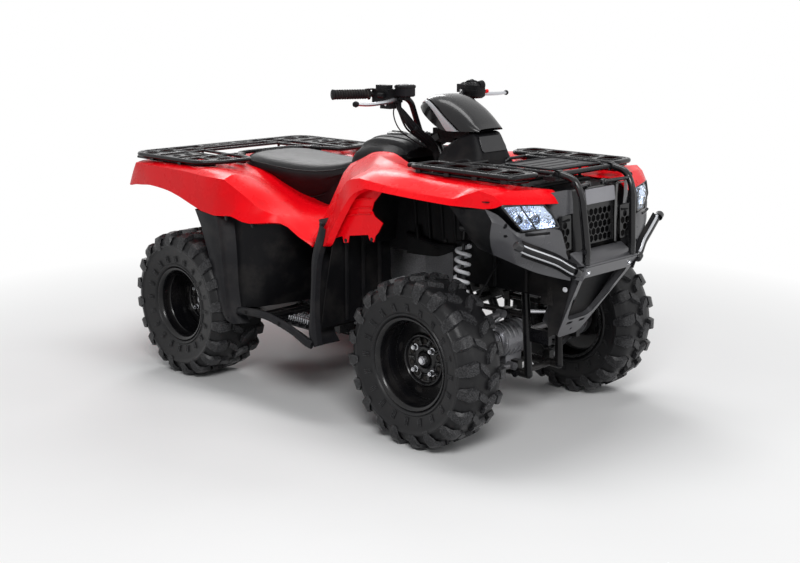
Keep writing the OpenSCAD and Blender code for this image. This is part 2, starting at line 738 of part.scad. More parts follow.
// left tie rod, hung under the pitman arm and the knuckle's arm
module tie_rod() {
    inner = pivot - 42 * steer_dir + pitman_r * steer_fwd + [0, 25, 0];
    outer = [xf + steer_arm_r, kingpin_y, eye_top_z - 14];
    color(dark_steel) union() {
        translate(inner) rotate([0, -rake, 0]) cylinder(h = 16, r = 11, center = true);
        translate(outer - [0, 0, 8]) cylinder(h = 22, r = 11);
        rod(inner, outer, 8);
    }
}

module tie_rod_left() { tie_rod(); }
module tie_rod_right() { mirror([0, 1, 0]) tie_rod(); }

module front_drive() {
    color(grey) union() {
        translate([xf, 0, drive_z]) rotate([90, 0, 0]) cylinder(h = 130, r = 62, center = true);
        span([xf - 32, -45, drive_seat_z], [xf + 32, 45, drive_z - 42]);
        both_sides() {
            rod([xf, 60, drive_z], [xf, 330, axle_z], 12);
            rod([xf, 64, drive_z], [xf, 112, drive_z + 2], 34);
            rod([xf, 285, axle_z], [xf, 335, axle_z], 27);
        }
    }
}

// ---- wheels ----

// a deep-dished rim: a barrel with a flange at each edge, and a disc with its hub
module rim(r, w, y_mid, y_disc, bore_r) {
    half = w / 2;
    translate([0, y_mid, 0]) rotate([-90, 0, 0]) difference() {
        union() {
            rotate_extrude($fn = 72) polygon([
                [r, -half], [r, -half + 6], [r - 12, -half + 12], [r - 16, -half + 40],
                [r - 16, half - 40], [r - 12, half - 12], [r, half - 6], [r, half],
                [r - 8, half], [r - 18, half - 12], [r - 21, half - 40], [r - 21, -half + 40],
                [r - 18, -half + 12], [r - 8, -half]]);
            translate([0, 0, y_disc - y_mid - 4]) cylinder(h = 8, r = r - 18, $fn = 72);
            translate([0, 0, y_disc - y_mid - 10]) cylinder(h = 20, r = 50);
        }
        translate([0, 0, -half]) cylinder(h = w, r = bore_r);
        for (a = [45:90:315])
            rotate(a) translate([r - 55, 0, -half]) cylinder(h = w, r = 14, $fn = 24);
    }
}

// a hollow tyre of radius r and width w, its beads just clear of a rim of radius rim_r
module tyre(r, w, rim_r) {
    half = w / 2;
    rim_half = half - rim_inset;
    bead = rim_r - 12 + seat_gap;
    side = [[bead, rim_half - 13], [rim_r + 0.5, rim_half - 7.5], [rim_r + 12, half - 4],
        [r - 60, half], [r - 20, half - 8], [r, half - 30]];
    lining = [[r - 25, half - 40], [r - 50, half - 12], [rim_r + 8, half - 20], [bead, rim_half - 24]];
    flip = function (list) [for (k = [len(list) - 1:-1:0]) [list[k].x, -list[k].y]];
    rotate([-90, 0, 0]) rotate_extrude($fn = 96)
        polygon(concat(side, flip(side), [for (k = [len(lining) - 1:-1:0])
            [lining[k].x, -lining[k].y]], lining));
}

module front_rim() {
    color(black) translate([xf, 0, axle_z])
        rim(front_rim_r, front_tyre_w - 2 * rim_inset, front_half_track, rim_disc_y,
            spindle_r + bearing_gap);
}

module front_rim_left() { front_rim(); }
module front_rim_right() { mirror([0, 1, 0]) front_rim(); }

module front_tyre() {
    color([0.03, 0.03, 0.03]) translate([xf, front_half_track, axle_z])
        tyre(tyre_r, front_tyre_w, front_rim_r);
}

module front_tyre_left() { front_tyre(); }
module front_tyre_right() { mirror([0, 1, 0]) front_tyre(); }

module rear_axle() {
    color(dark_steel) translate([xr, 0, axle_z]) rotate([90, 0, 0])
        cylinder(h = 2 * rear_disc_y + 40, r = rear_axle_r, center = true);
}

module rear_rims() {
    color(black) both_sides() translate([xr, 0, axle_z])
        rim(rear_rim_r, rear_tyre_w - 2 * rim_inset, rear_half_track, rear_disc_y,
            rear_axle_r + bearing_gap);
}

module rear_tyres() {
    color([0.03, 0.03, 0.03]) both_sides() translate([xr, rear_half_track, axle_z])
        tyre(tyre_r, rear_tyre_w, rear_rim_r);
}

module swingarm() {
    pivot_end = [frame_back, frame_y - frame_tube_r - seat_gap, rail_z + 60];
    seat_z = rear_shock_low.z - 2 * shock_eye_r - seat_gap;
    color(black) difference() {
        union() {
            translate([xr, 0, axle_z]) rotate([90, 0, 0])
                cylinder(h = 640, r = 32, center = true);
            translate([xr, 0, axle_z]) rotate([90, 0, 0])
                cylinder(h = 120, r = final_drive_r, center = true);
            both_sides() rod([xr, 70, axle_z], [pivot_end.x, 82, pivot_end.z], 17);
            cross_tube(pivot_end, 20);
            cross_tube([rear_shock_low.x, 85, seat_z], shock_eye_r);
        }
        translate([xr, 0, axle_z]) rotate([90, 0, 0])
            cylinder(h = 700, r = rear_axle_r + bearing_gap, center = true);
    }
}

module rear_shock() {
    color(steel) union()
        shock(rear_shock_low, rear_shock_high, [0, 1, 0], 8, 34);
}

module muffler() {
    centre = [xr - 100, -200, 600];
    color(dark_steel) union() {
        rod(centre - [190, 0, 0], centre + [170, 0, 0], 66);
        rod(centre - [240, 0, 0], centre - [180, 0, 0], 20);
        span(centre + [-10, -8, 40], [centre.x + 10, centre.y + 8, muffler_hanger_z]);
    }
}

module tail_light() {
    color([0.6, 0, 0]) span([tail_x, -70, 768], [light_seat_x, 70, 812]);
}

module tow_hitch() {
    low = axle_z + 40;
    front = xr - sqrt(final_drive_r * final_drive_r - 1600) - seat_gap;
    color(dark_steel) difference() {
        span([xr - 230, -35, low], [front, 35, low + 8]);
        translate([xr - 205, 0, axle_z]) cylinder(h = 100, r = hitch_bore_r);
    }
}

frame();
engine();
skid_plate();
front_fender();
rear_fender();
tank_cover();
nose_cowl();
fuel_cap();
seat();
front_rack();
rear_rack();
brush_guard();
lower_guard();
grille();
headlights();
front_cowls();
bumper_bars();
splash_shields();
mudguards();
footrests();
side_covers();
steering_column();
handlebar();
handlebar_pod();
controls();
front_arms();
front_shocks();
knuckle_left();
knuckle_right();
tie_rod_left();
tie_rod_right();
front_drive();
front_rim_left();
front_rim_right();
front_tyre_left();
front_tyre_right();
rear_axle();
rear_rims();
rear_tyres();
swingarm();
rear_shock();
muffler();
tail_light();
tow_hitch();
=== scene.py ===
"""Builds the looks of a utility quad bike round its packed construction model."""

import math
import random

import bmesh
import bpy
import numpy as np
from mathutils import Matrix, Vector
from mathutils.geometry import tessellate_polygon


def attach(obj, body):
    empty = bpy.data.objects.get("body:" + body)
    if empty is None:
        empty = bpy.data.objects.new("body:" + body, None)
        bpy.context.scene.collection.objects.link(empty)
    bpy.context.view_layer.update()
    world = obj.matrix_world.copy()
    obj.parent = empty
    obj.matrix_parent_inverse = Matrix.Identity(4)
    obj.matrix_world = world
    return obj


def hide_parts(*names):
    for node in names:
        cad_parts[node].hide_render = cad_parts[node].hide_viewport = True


bl_info = {
    "name": "Quad Bike Looks",
    "version": (1, 0, 0),
    "blender": (4, 5, 0),
    "location": "View3D > Sidebar > Quad Bike",
    "description": "Bodywork, wheels, racks, seat, controls and finishes of a utility quad bike",
    "category": "Object",
}

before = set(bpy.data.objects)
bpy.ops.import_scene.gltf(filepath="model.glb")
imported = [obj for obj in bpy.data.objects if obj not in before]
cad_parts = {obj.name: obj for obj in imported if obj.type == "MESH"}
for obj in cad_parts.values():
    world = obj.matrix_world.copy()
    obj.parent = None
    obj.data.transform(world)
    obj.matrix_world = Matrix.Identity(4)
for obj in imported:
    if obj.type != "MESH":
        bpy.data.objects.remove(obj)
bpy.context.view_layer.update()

FRONT_X, REAR_X = 0.6335, -0.6335   # axles
HUB_Z = 0.3
FRONT_Y, REAR_Y = 0.448, 0.473         # middles of the wheels
FRONT_RIM_R, REAR_RIM_R = 0.164, 0.151


# ---- shapes -------------------------------------------------------------------------------

def mm(table):
    """A table written in millimetres, or thousandths of a share, as metres."""
    return type(table)(mm(row) for row in table) if isinstance(table, (list, tuple)) else table / 1000


def flip(points):
    """The same points on the other side of the machine."""
    return [(p[0], -p[1], p[2]) for p in points]


def curve_through(points, steps):
    """A smooth line through the points, with that many steps between each pair."""
    p = [np.array(q, float) for q in points]
    p = [2 * p[0] - p[1]] + p + [2 * p[-1] - p[-2]]
    out = []
    for i in range(1, len(p) - 2):
        for k in range(steps):
            t = k / steps
            a, b, c, d = p[i - 1:i + 3]
            out.append(0.5 * (2 * b + (c - a) * t + (2 * a - 5 * b + 4 * c - d) * t * t
                              + (3 * b - a - 3 * c + d) * t ** 3))
    return out + [p[-2]]


def bent_path(points, radius, steps=5):
    """A path of straight runs whose corners are rounded to that radius."""
    p = [Vector(q) for q in points]
    out = [p[0]]
    for a, b, c in zip(p, p[1:], p[2:]):
        u, v = (a - b), (c - b)
        cut = min(radius, u.length * 0.45, v.length * 0.45)
        s, e = b + u.normalized() * cut, b + v.normalized() * cut
        out += [s.lerp(b, t).lerp(b.lerp(e, t), t) for t in (k / steps for k in range(steps + 1))]
    return out + [p[-1]]


class Shape:
    """Collects faces, each with the number of its finish, and makes one piece of them."""

    def __init__(self):
        self.points, self.faces, self.finish = [], [], []

    def add(self, points, faces, finish=0):
        start = len(self.points)
        self.points += [tuple(p) for p in points]
        self.faces += [tuple(start + i for i in f) for f in faces]
        self.finish += [finish] * len(faces)
        return self

    def tube(self, path, radius, sides=14, finish=0, closed=False, radii=None, flat=1.0):
        """A round tube along a path. radii gives a radius for each point of the path."""
        path = [Vector(p) for p in path]
        n = len(path)
        pts, side = [], None
        for i, p in enumerate(path):
            a, b = path[(i - 1) % n if closed else max(i - 1, 0)], path[(i + 1) % n if closed else min(i + 1, n - 1)]
            along = (b - a).normalized()
            if side is None:
                side = along.cross(Vector((0, 0, 1)) if abs(along.z) < 0.9 else Vector((1, 0, 0)))
            side = (side - along * side.dot(along)).normalized()
            up = side.cross(along)
            r = radii[i] if radii else radius
            for k in range(sides):
                t = 2 * math.pi * k / sides
                pts.append(p + side * math.cos(t) * r + up * math.sin(t) * r * flat)
        faces = [(i * sides + k, i * sides + (k + 1) % sides,
                  (i + 1) % n * sides + (k + 1) % sides, (i + 1) % n * sides + k)
                 for i in range(n if closed else n - 1) for k in range(sides)]
        if not closed:
            faces += [tuple(reversed(range(sides))), tuple(range((n - 1) * sides, n * sides))]
        return self.add(pts, faces, finish)

    def turned(self, profile, centre, axis="y", sides=48, finish=0, closed=False):
        """A section (distance along the axis, radius) turned round the axis."""
        c = Vector(centre)
        names = {"x": (Vector((1, 0, 0)), Vector((0, 1, 0)), Vector((0, 0, 1))),
                 "y": (Vector((0, 1, 0)), Vector((0, 0, 1)), Vector((1, 0, 0))),
                 "z": (Vector((0, 0, 1)), Vector((1, 0, 0)), Vector((0, 1, 0)))}
        if isinstance(axis, str):
            a, u, v = names[axis]
        else:
            a = Vector(axis).normalized()
            u = a.orthogonal().normalized()
            v = a.cross(u)
        m = len(profile)
        pts = [c + a * d + (u * math.cos(2 * math.pi * k / sides) + v * math.sin(2 * math.pi * k / sides)) * r
               for k in range(sides) for d, r in profile]
        faces = [(k * m + i, (k + 1) % sides * m + i, (k + 1) % sides * m + (i + 1) % m, k * m + (i + 1) % m)
                 for k in range(sides) for i in range(m if closed else m - 1)]
        return self.add(pts, faces, finish)

    def skin(self, rows, finish=0, around=False, ends=False):
        """A sheet over rows of points. around closes each row into a ring, ends caps them."""
        m = len(rows[0])
        pts = [p for row in rows for p in row]
        faces = [(i * m + k, i * m + (k + 1) % m, (i + 1) * m + (k + 1) % m, (i + 1) * m + k)
                 for i in range(len(rows) - 1) for k in range(m if around else m - 1)]
        if ends:
            faces += [tuple(reversed(range(m))), tuple(range((len(rows) - 1) * m, len(rows) * m))]
        return self.add(pts, faces, finish)

    def prism(self, outline, axis, low, high, finish=0):
        """An outline pulled along x, y or z. The outline gives the other two coordinates."""
        place = {"x": lambda d, p: (d, p[0], p[1]), "y": lambda d, p: (p[0], d, p[1]),
                 "z": lambda d, p: (p[0], p[1], d)}[axis]
        return self.skin([[place(low, p) for p in outline], [place(high, p) for p in outline]],
                         finish, around=True, ends=True)

    def block(self, a, b, finish=0):
        return self.prism([(a[0], a[1]), (b[0], a[1]), (b[0], b[1]), (a[0], b[1])], "z", a[2], b[2], finish)

    def bolt(self, place, direction, r=0.006, h=0.004, finish=0):
        """A hexagon head on a washer."""
        self.turned([(0, 0), (0, r * 1.5), (h * 0.3, r * 1.5), (h * 0.3, r * 0.9)], place, direction, 20, finish)
        return self.turned([(h * 0.3, r), (h, r), (h * 1.2, r * 0.8), (h * 1.2, 0)], place, direction, 6, finish)

    def both_sides(self):
        """Adds the mirror image of everything so far."""
        n = len(self.points)
        self.points += flip(self.points)
        self.faces += [tuple(n + i for i in reversed(f)) for f in list(self.faces)]
        self.finish += list(self.finish)
        return self

    def piece(self, name, body, slot, finishes, sharp=32, round_edges=0.0, smooth=0, thick=0.0, nodes=()):
        """Makes the piece: outward faces, its finishes, and the modifiers it asks for."""
        mesh = bpy.data.meshes.new(name)
        mesh.from_pydata(self.points, [], self.faces)
        mesh.polygons.foreach_set("material_index", self.finish)
        for finish in finishes:
            mesh.materials.append(FINISH[finish])
        bm = bmesh.new()
        bm.from_mesh(mesh)
        bmesh.ops.remove_doubles(bm, verts=bm.verts, dist=2e-6)
        if not thick:
            bmesh.ops.recalc_face_normals(bm, faces=bm.faces)
        bm.to_mesh(mesh)
        bm.free()
        mesh.polygons.foreach_set("use_smooth", [True] * len(mesh.polygons))
        mesh.set_sharp_from_angle(angle=math.radians(sharp))
        obj = bpy.data.objects.new(name, mesh)
        bpy.context.scene.collection.objects.link(obj)
        if smooth:
            sub = obj.modifiers.new("Smooth", "SUBSURF")
            sub.levels = sub.render_levels = smooth
        if thick:
            wall = obj.modifiers.new("Wall", "SOLIDIFY")
            wall.thickness = thick
            wall.offset = -1
            wall.use_even_offset = False
        if round_edges:
            edge = obj.modifiers.new("Edges", "BEVEL")
            edge.width = round_edges
            edge.segments = 2
            edge.limit_method = "ANGLE"
            edge.angle_limit = math.radians(sharp)
            edge.harden_normals = True
        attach(obj, body)
        if nodes:
            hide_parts(*nodes)
        return obj


# ---- finishes -----------------------------------------------------------------------------

class Tree:
    """Adds and links shader nodes by short names."""

    def __init__(self, tree):
        self.tree = tree

    def node(self, kind, inputs=None, **settings):
        n = self.tree.nodes.new(kind)
        for key, value in settings.items():
            setattr(n, key, value)
        for key, value in (inputs or {}).items():
            if isinstance(value, bpy.types.NodeSocket):
                self.tree.links.new(value, n.inputs[key])
            else:
                n.inputs[key].default_value = value
        return n

    def math(self, operation, a, b=0.0, c=0.0, clamp=False):
        return self.node("ShaderNodeMath", {0: a, 1: b, 2: c}, operation=operation, use_clamp=clamp).outputs[0]

    def ramp(self, value, low, high, out_low=0.0, out_high=1.0):
        return self.node("ShaderNodeMapRange", {"Value": value, "From Min": low, "From Max": high,
                                                "To Min": out_low, "To Max": out_high}).outputs[0]

    def mix(self, factor, a, b):
        return self.node("ShaderNodeMix", {0: factor, 6: a, 7: b}, data_type="RGBA").outputs[2]


def new_group(name, ins, outs):
    tree = bpy.data.node_groups.new(name, "ShaderNodeTree")
    for label, kind, value in ins:
        socket = tree.interface.new_socket(label, in_out="INPUT", socket_type=kind)
        socket.default_value = value
    for label, kind in outs:
        tree.interface.new_socket(label, in_out="OUTPUT", socket_type=kind)
    t = Tree(tree)
    return t, t.node("NodeGroupInput"), t.node("NodeGroupOutput")


def worn_surface_group():
    """Edge wear, dust in hollows and uneven gloss, shared by every painted or moulded finish."""
    f, c = "NodeSocketFloat", "NodeSocketColor"
    t, i, o = new_group("Worn Surface", [
        ("Base", c, (0.5, 0.5, 0.5, 1)), ("Worn", c, (0.6, 0.6, 0.6, 1)), ("Dust", c, (0.35, 0.31, 0.27, 1)),
        ("Wear", f, 0.3), ("Dirt", f, 0.2), ("Roughness", f, 0.4), ("Patch Size", f, 9.0)],
        [("Color", c), ("Roughness", f)])
    coord = t.node("ShaderNodeTexCoord").outputs["Object"]
    wide = t.node("ShaderNodeTexNoise", {"Vector": coord, "Scale": i.outputs["Patch Size"], "Detail": 5.0,
        "Roughness": 0.6}).outputs[0]
    fine = t.node("ShaderNodeTexNoise", {"Vector": coord, "Scale": 260.0, "Detail": 3.0}).outputs[0]
    edge = t.node("ShaderNodeNewGeometry").outputs["Pointiness"]
    worn = t.math("MULTIPLY", t.ramp(edge, 0.53, 0.62), t.ramp(fine, 0.42, 0.62))
    worn = t.math("MULTIPLY", worn, i.outputs["Wear"], clamp=True)
    hollow = t.math("MULTIPLY", t.ramp(edge, 0.5, 0.44), 0.7)
    film = t.math("MULTIPLY", t.ramp(wide, 0.48, 0.75), 0.5)
    dirty = t.math("MULTIPLY", t.math("ADD", hollow, film), i.outputs["Dirt"], clamp=True)
    shade = t.ramp(wide, 0.3, 0.7, 0.93, 1.05)
    base = t.node("ShaderNodeVectorMath", {0: i.outputs["Base"], 3: shade}, operation="SCALE").outputs[0]
    colour = t.mix(worn, base, i.outputs["Worn"])
    colour = t.mix(dirty, colour, i.outputs["Dust"])
    rough = t.math("ADD", i.outputs["Roughness"], t.math("MULTIPLY", dirty, 0.35))
    rough = t.math("ADD", rough, t.ramp(wide, 0.35, 0.65, -0.03, 0.04), clamp=True)
    t.tree.links.new(colour, o.inputs["Color"])
    t.tree.links.new(rough, o.inputs["Roughness"])
    return t.tree


def grain_group():
    """Moulded grain: fine cells over soft waviness, as one height."""
    f = "NodeSocketFloat"
    t, i, o = new_group("Moulded Grain", [("Cells", f, 900.0), ("Waves", f, 25.0), ("Cell Depth", f, 0.7)],
        [("Height", f)])
    coord = t.node("ShaderNodeTexCoord").outputs["Object"]
    cells = t.node("ShaderNodeTexVoronoi", {"Vector": coord, "Scale": i.outputs["Cells"]},
        feature="SMOOTH_F1").outputs[0]
    waves = t.node("ShaderNodeTexNoise", {"Vector": coord, "Scale": i.outputs["Waves"], "Detail": 2.0}).outputs[0]
    t.tree.links.new(t.math("ADD", t.math("MULTIPLY", cells, i.outputs["Cell Depth"]), waves), o.inputs["Height"])
    return t.tree


def finish(name, base, roughness, worn=None, wear=0.25, dirt=0.15, grain=(900.0, 25.0, 0.5), bump=0.15,
           metallic=0.0, coat=0.0, dust=(0.3, 0.27, 0.24), depth=0.001, gloss=0.1):
    """A moulded, painted or metal finish from the two shared effects and its own values."""
    m = bpy.data.materials.new(name)
    m.use_nodes = True
    t = Tree(m.node_tree)
    shader = m.node_tree.nodes["Principled BSDF"]
    surface = t.node("ShaderNodeGroup", node_tree=bpy.data.node_groups["Worn Surface"])
    worn = worn or tuple(min(1.0, c * 1.6 + 0.05) for c in base)
    for key, value in {"Base": (*base, 1), "Worn": (*worn, 1), "Dust": (*dust, 1), "Wear": wear, "Dirt": dirt,
                       "Roughness": roughness, "Patch Size": 9.0}.items():
        surface.inputs[key].default_value = value
    relief = t.node("ShaderNodeGroup", node_tree=bpy.data.node_groups["Moulded Grain"])
    for key, value in zip(("Cells", "Waves", "Cell Depth"), grain):
        relief.inputs[key].default_value = value
    bumps = t.node("ShaderNodeBump", {"Strength": bump, "Distance": depth, "Height": relief.outputs[0]})
    shader.inputs["Metallic"].default_value = metallic
    shader.inputs["Specular IOR Level"].default_value = gloss if metallic < 0.5 else 0.5
    shader.inputs["Coat Weight"].default_value = coat
    shader.inputs["Coat Roughness"].default_value = 0.08
    m.node_tree.links.new(surface.outputs["Color"], shader.inputs["Base Color"])
    m.node_tree.links.new(surface.outputs["Roughness"], shader.inputs["Roughness"])
    m.node_tree.links.new(bumps.outputs[0], shader.inputs["Normal"])
    return m


FINISH = {}


def make_finishes(settings):
    """Every finish on the machine, each in its own colours and relief."""
    worn_surface_group()
    grain_group()
    red, black = tuple(settings.body_colour), tuple(settings.trim_colour)
    FINISH.update({
        "red": finish("Red Bodywork", red, 0.27, worn=(0.95, 0.1, 0.08), wear=0.12, dirt=0.02, gloss=0.14,
                      grain=(420.0, 14.0, 0.06), bump=0.05, dust=(0.6, 0.02, 0.02)),
        "plastic": finish("Black Plastic", black, 0.42, wear=0.25, dirt=0.1, grain=(1500.0, 30.0, 0.9), bump=0.25),
        "smooth": finish("Smooth Black Plastic", (0.013, 0.013, 0.015), 0.3, gloss=0.35, wear=0.12, dirt=0.05, coat=0.2,
                         grain=(500.0, 12.0, 0.1), bump=0.06),
        "flare": finish("Dark Grey Plastic", (0.013, 0.013, 0.015), 0.36, wear=0.2, dirt=0.12,
                        grain=(1300.0, 22.0, 0.9), bump=0.22),
        "cowl": finish("Grey Cowl Plastic", (0.068, 0.068, 0.074), 0.27, gloss=0.45, coat=0.1, wear=0.15, dirt=0.06,
                       grain=(1400.0, 18.0, 0.8), bump=0.15),
        "vinyl": finish("Seat Vinyl", (0.008, 0.008, 0.009), 0.38, gloss=0.16, wear=0.1, dirt=0.04,
                        grain=(620.0, 30.0, 1.0), bump=0.35),
        "paint": finish("Black Rack Paint", (0.005, 0.005, 0.006), 0.26, gloss=0.22, worn=(0.1, 0.1, 0.11), wear=0.25,
                        dirt=0.05, grain=(700.0, 40.0, 0.4), bump=0.1),
        "rim": finish("Black Rim Enamel", (0.004, 0.004, 0.005), 0.22, gloss=0.22, worn=(0.2, 0.2, 0.2), wear=0.4,
                      dirt=0.06, coat=0.15, grain=(600.0, 20.0, 0.2), bump=0.05),
        "satin": finish("Satin Steel", (0.56, 0.57, 0.6), 0.3, worn=(0.8, 0.8, 0.82), wear=0.4, dirt=0.15,
                        metallic=0.9, grain=(900.0, 60.0, 0.4), bump=0.08),
        "zinc": finish("Zinc Plate", (0.62, 0.63, 0.66), 0.26, wear=0.3, dirt=0.2, metallic=1.0,
                       grain=(1200.0, 90.0, 0.5), bump=0.1),
        "cast": finish("Cast Aluminium", (0.3, 0.3, 0.32), 0.46, worn=(0.6, 0.6, 0.62), wear=0.5, dirt=0.3,
                       metallic=0.85, grain=(480.0, 60.0, 1.0), bump=0.4),
        "spring": finish("Spring Paint", (0.72, 0.73, 0.76), 0.26, wear=0.3, dirt=0.12, coat=0.4,
                         grain=(600.0, 40.0, 0.3), bump=0.06),
        "rubber": finish("Soft Rubber", (0.006, 0.006, 0.007), 0.55, wear=0.2, dirt=0.15, grain=(800.0, 50.0, 0.8),
                         bump=0.3),
        "tyre": finish("Tyre Rubber", (0.01, 0.01, 0.011), 0.36, gloss=0.22, worn=(0.1, 0.1, 0.105), wear=0.6,
                       dirt=0.08, grain=(520.0, 70.0, 0.9), bump=0.32, dust=(0.1, 0.095, 0.09)),
        # dark: dark steel parts, and painted shade where it fills the rim slots, the cowl slot, the pod's groove, the
        # pipe bore and the space behind the grille
        "dark": finish("Shadowed Steel", (0.002, 0.002, 0.003), 0.6, gloss=0.1, wear=0.3, dirt=0.15,
                       grain=(500.0, 40.0, 0.6), bump=0.2),
        "tag": finish("Blank Name Bar", (0.3, 0.3, 0.32), 0.36, wear=0.1, dirt=0.08, metallic=0.3,
                      grain=(900.0, 18.0, 0.3), bump=0.08),
        "stripe": finish("Grey Stripe", (0.42, 0.43, 0.45), 0.3, wear=0.1, dirt=0.05, coat=0.2,
                         grain=(900.0, 18.0, 0.3), bump=0.05),
        "lens_red": finish("Red Lens", (0.5, 0.0, 0.004), 0.12, wear=0.05, dirt=0.03, coat=0.8,
                           grain=(300.0, 200.0, 0.8), bump=0.2),
        "gloss": finish("Satin Black Tube Paint", (0.005, 0.005, 0.006), 0.2, gloss=0.28, worn=(0.14, 0.14, 0.15),
                        wear=0.35, dirt=0.04, coat=0.2, grain=(600.0, 30.0, 0.2), bump=0.05),
        "guard": finish("Gunmetal Guard Paint", (0.09, 0.09, 0.097), 0.3, gloss=0.4, worn=(0.25, 0.25, 0.26), wear=0.4,
                        dirt=0.08, metallic=0.35, coat=0.15, grain=(900.0, 16.0, 0.5), bump=0.12),
        "satinblack": finish("Satin Pod Plastic", (0.007, 0.007, 0.008), 0.27, gloss=0.22, wear=0.08, dirt=0.03,
                             coat=0.25, grain=(900.0, 10.0, 0.15), bump=0.05),
        "exhaust": finish("Heat-Dulled Steel", (0.16, 0.15, 0.15), 0.42, worn=(0.4, 0.38, 0.36), wear=0.4, dirt=0.3,
                          metallic=0.8, grain=(500.0, 30.0, 0.8), bump=0.2, dust=(0.16, 0.12, 0.09)),
        "mirror": finish("Lamp Reflector", (0.84, 0.88, 0.97), 0.1, wear=0.0, dirt=0.02, metallic=1.0,
                         grain=(160.0, 90.0, 1.0), bump=0.6, depth=0.004),
    })
    FINISH["lens"] = glass("Clear Lens")


def glass(name):
    """Clear lamp glass, thin enough to be drawn by its gloss."""
    m = bpy.data.materials.new(name)
    m.use_nodes = True
    t = Tree(m.node_tree)
    shader = m.node_tree.nodes["Principled BSDF"]
    coord = t.node("ShaderNodeTexCoord").outputs["Object"]
    flutes = t.node("ShaderNodeTexWave", {"Vector": coord, "Scale": 22.0, "Distortion": 1.5, "Detail": 1.0}).outputs[1]
    bumps = t.node("ShaderNodeBump", {"Strength": 0.25, "Distance": 0.002, "Height": flutes})
    m.node_tree.links.new(bumps.outputs[0], shader.inputs["Normal"])
    smear = t.node("ShaderNodeTexNoise", {"Vector": coord, "Scale": 30.0, "Detail": 4.0}).outputs[0]
    m.node_tree.links.new(t.ramp(smear, 0.3, 0.7, 0.02, 0.09), shader.inputs["Roughness"])
    m.node_tree.links.new(t.mix(smear, (0.92, 0.96, 1.0, 1), (0.86, 0.92, 1.0, 1)), shader.inputs["Base Color"])
    shader.inputs["Transmission Weight"].default_value = 1.0
    shader.inputs["IOR"].default_value = 1.12
    return m


def paint_node(node, *names):
    """Gives a construction node its finish."""
    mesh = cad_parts[node].data
    mesh.materials.clear()
    for name in names:
        mesh.materials.append(FINISH[name])
    mesh.polygons.foreach_set("use_smooth", [True] * len(mesh.polygons))
    mesh.set_sharp_from_angle(angle=math.radians(30))


# ---- wheels -------------------------------------------------------------------------------

def tyre_lug(shape, centre, side, stations, theta, skew):
    """A tapered tread block. Each station is (y, outer radius, height, width round the tyre)."""
    cx, cz, cy = centre[0], centre[2], centre[1]
    rows = []
    for k, (y, r, h, w) in enumerate(stations):
        mid = theta + skew * k / (len(stations) - 1)
        row = []
        for rr, ww in ((r - h, w * 1.25), (r, w * 0.92), (r, -w * 0.92), (r - h, -w * 1.25)):
            t = mid + ww / 2 / r
            row.append((cx + rr * math.sin(t), cy + side * y, cz + rr * math.cos(t)))
        rows.append(row)
    shape.skin(rows, 0, around=True, ends=True)


def make_tyre(name, body, x, y_mid, half, rim_r, nodes, pitches):
    """A knobbly tyre: carcass with its wall rings, shoulder blocks down the wall, and chevrons."""
    r = HUB_Z
    wall = half - 0.004
    section = [(half - 0.034, rim_r - 0.008), (half - 0.026, rim_r + 0.002), (half - 0.02, rim_r + 0.004),
               (half - 0.014, rim_r + 0.01), (half - 0.013, rim_r + 0.014), (half - 0.017, rim_r + 0.018),
               (wall - 0.006, r - 0.098), (wall - 0.002, r - 0.075), (wall, r - 0.062), (wall + 0.002, r - 0.06),
               (wall + 0.002, r - 0.054), (wall - 0.002, r - 0.051), (wall - 0.007, r - 0.034),
               (half - 0.026, r - 0.02), (half * 0.5, r - 0.0155), (0, r - 0.0145)]
    profile = section + [(-a, b) for a, b in reversed(section[:-1])]
    profile += [(-half + 0.04, rim_r + 0.02), (0, r - 0.03), (half - 0.04, rim_r + 0.02)]
    tyre = Shape().turned(profile, (x, y_mid, HUB_Z), "y", 120, 0, closed=True)
    step = 2 * math.pi / pitches
    for k in range(pitches):
        for side in (1, -1):
            turn = k * step + (step / 2 if side < 0 else 0)
            long_one = k % 2 == 0
            low = r - (0.058 if long_one else 0.046)
            tyre_lug(tyre, (x, y_mid, HUB_Z), side, [
                (half * 0.54, r - 0.0004, 0.016, 0.036), (half * 0.72, r - 0.0016, 0.016, 0.04),
                (half - 0.012, r - 0.008, 0.016, 0.04), (half - 0.0005, r - 0.026, 0.02, 0.031),
                (half - 0.0002, low, 0.01, 0.017)], turn, 0.05 if long_one else 0.02)
            tyre_lug(tyre, (x, y_mid, HUB_Z), side, [
                (half * 0.03, r, 0.015, 0.026), (half * 0.22, r, 0.015, 0.032), (half * 0.45, r - 0.0004, 0.015,
                0.024)],
                turn + step * 0.36, -0.13 if long_one else -0.09)
            for t in (-0.3, 0.0, 0.3):
                a = turn + step * 0.5 + t * 0.1
                q = [(x + rr * math.sin(a + d), y_mid + side * yy, HUB_Z + rr * math.cos(a + d))
                     for d in (-0.006, 0.006) for rr, yy in ((rim_r + 0.022, half - 0.0125), (rim_r + 0.05,
                        half - 0.0062))]
                out = [(p[0], p[1] + side * 0.0022, p[2]) for p in q]
                tyre.add([*q, *out], [(4, 5, 7, 6), (0, 4, 6, 2), (1, 3, 7, 5), (0, 1, 5, 4), (2, 6, 7, 3)])
    return tyre.piece(name, body, "tyre_rubber", ["tyre"], sharp=38, nodes=nodes)


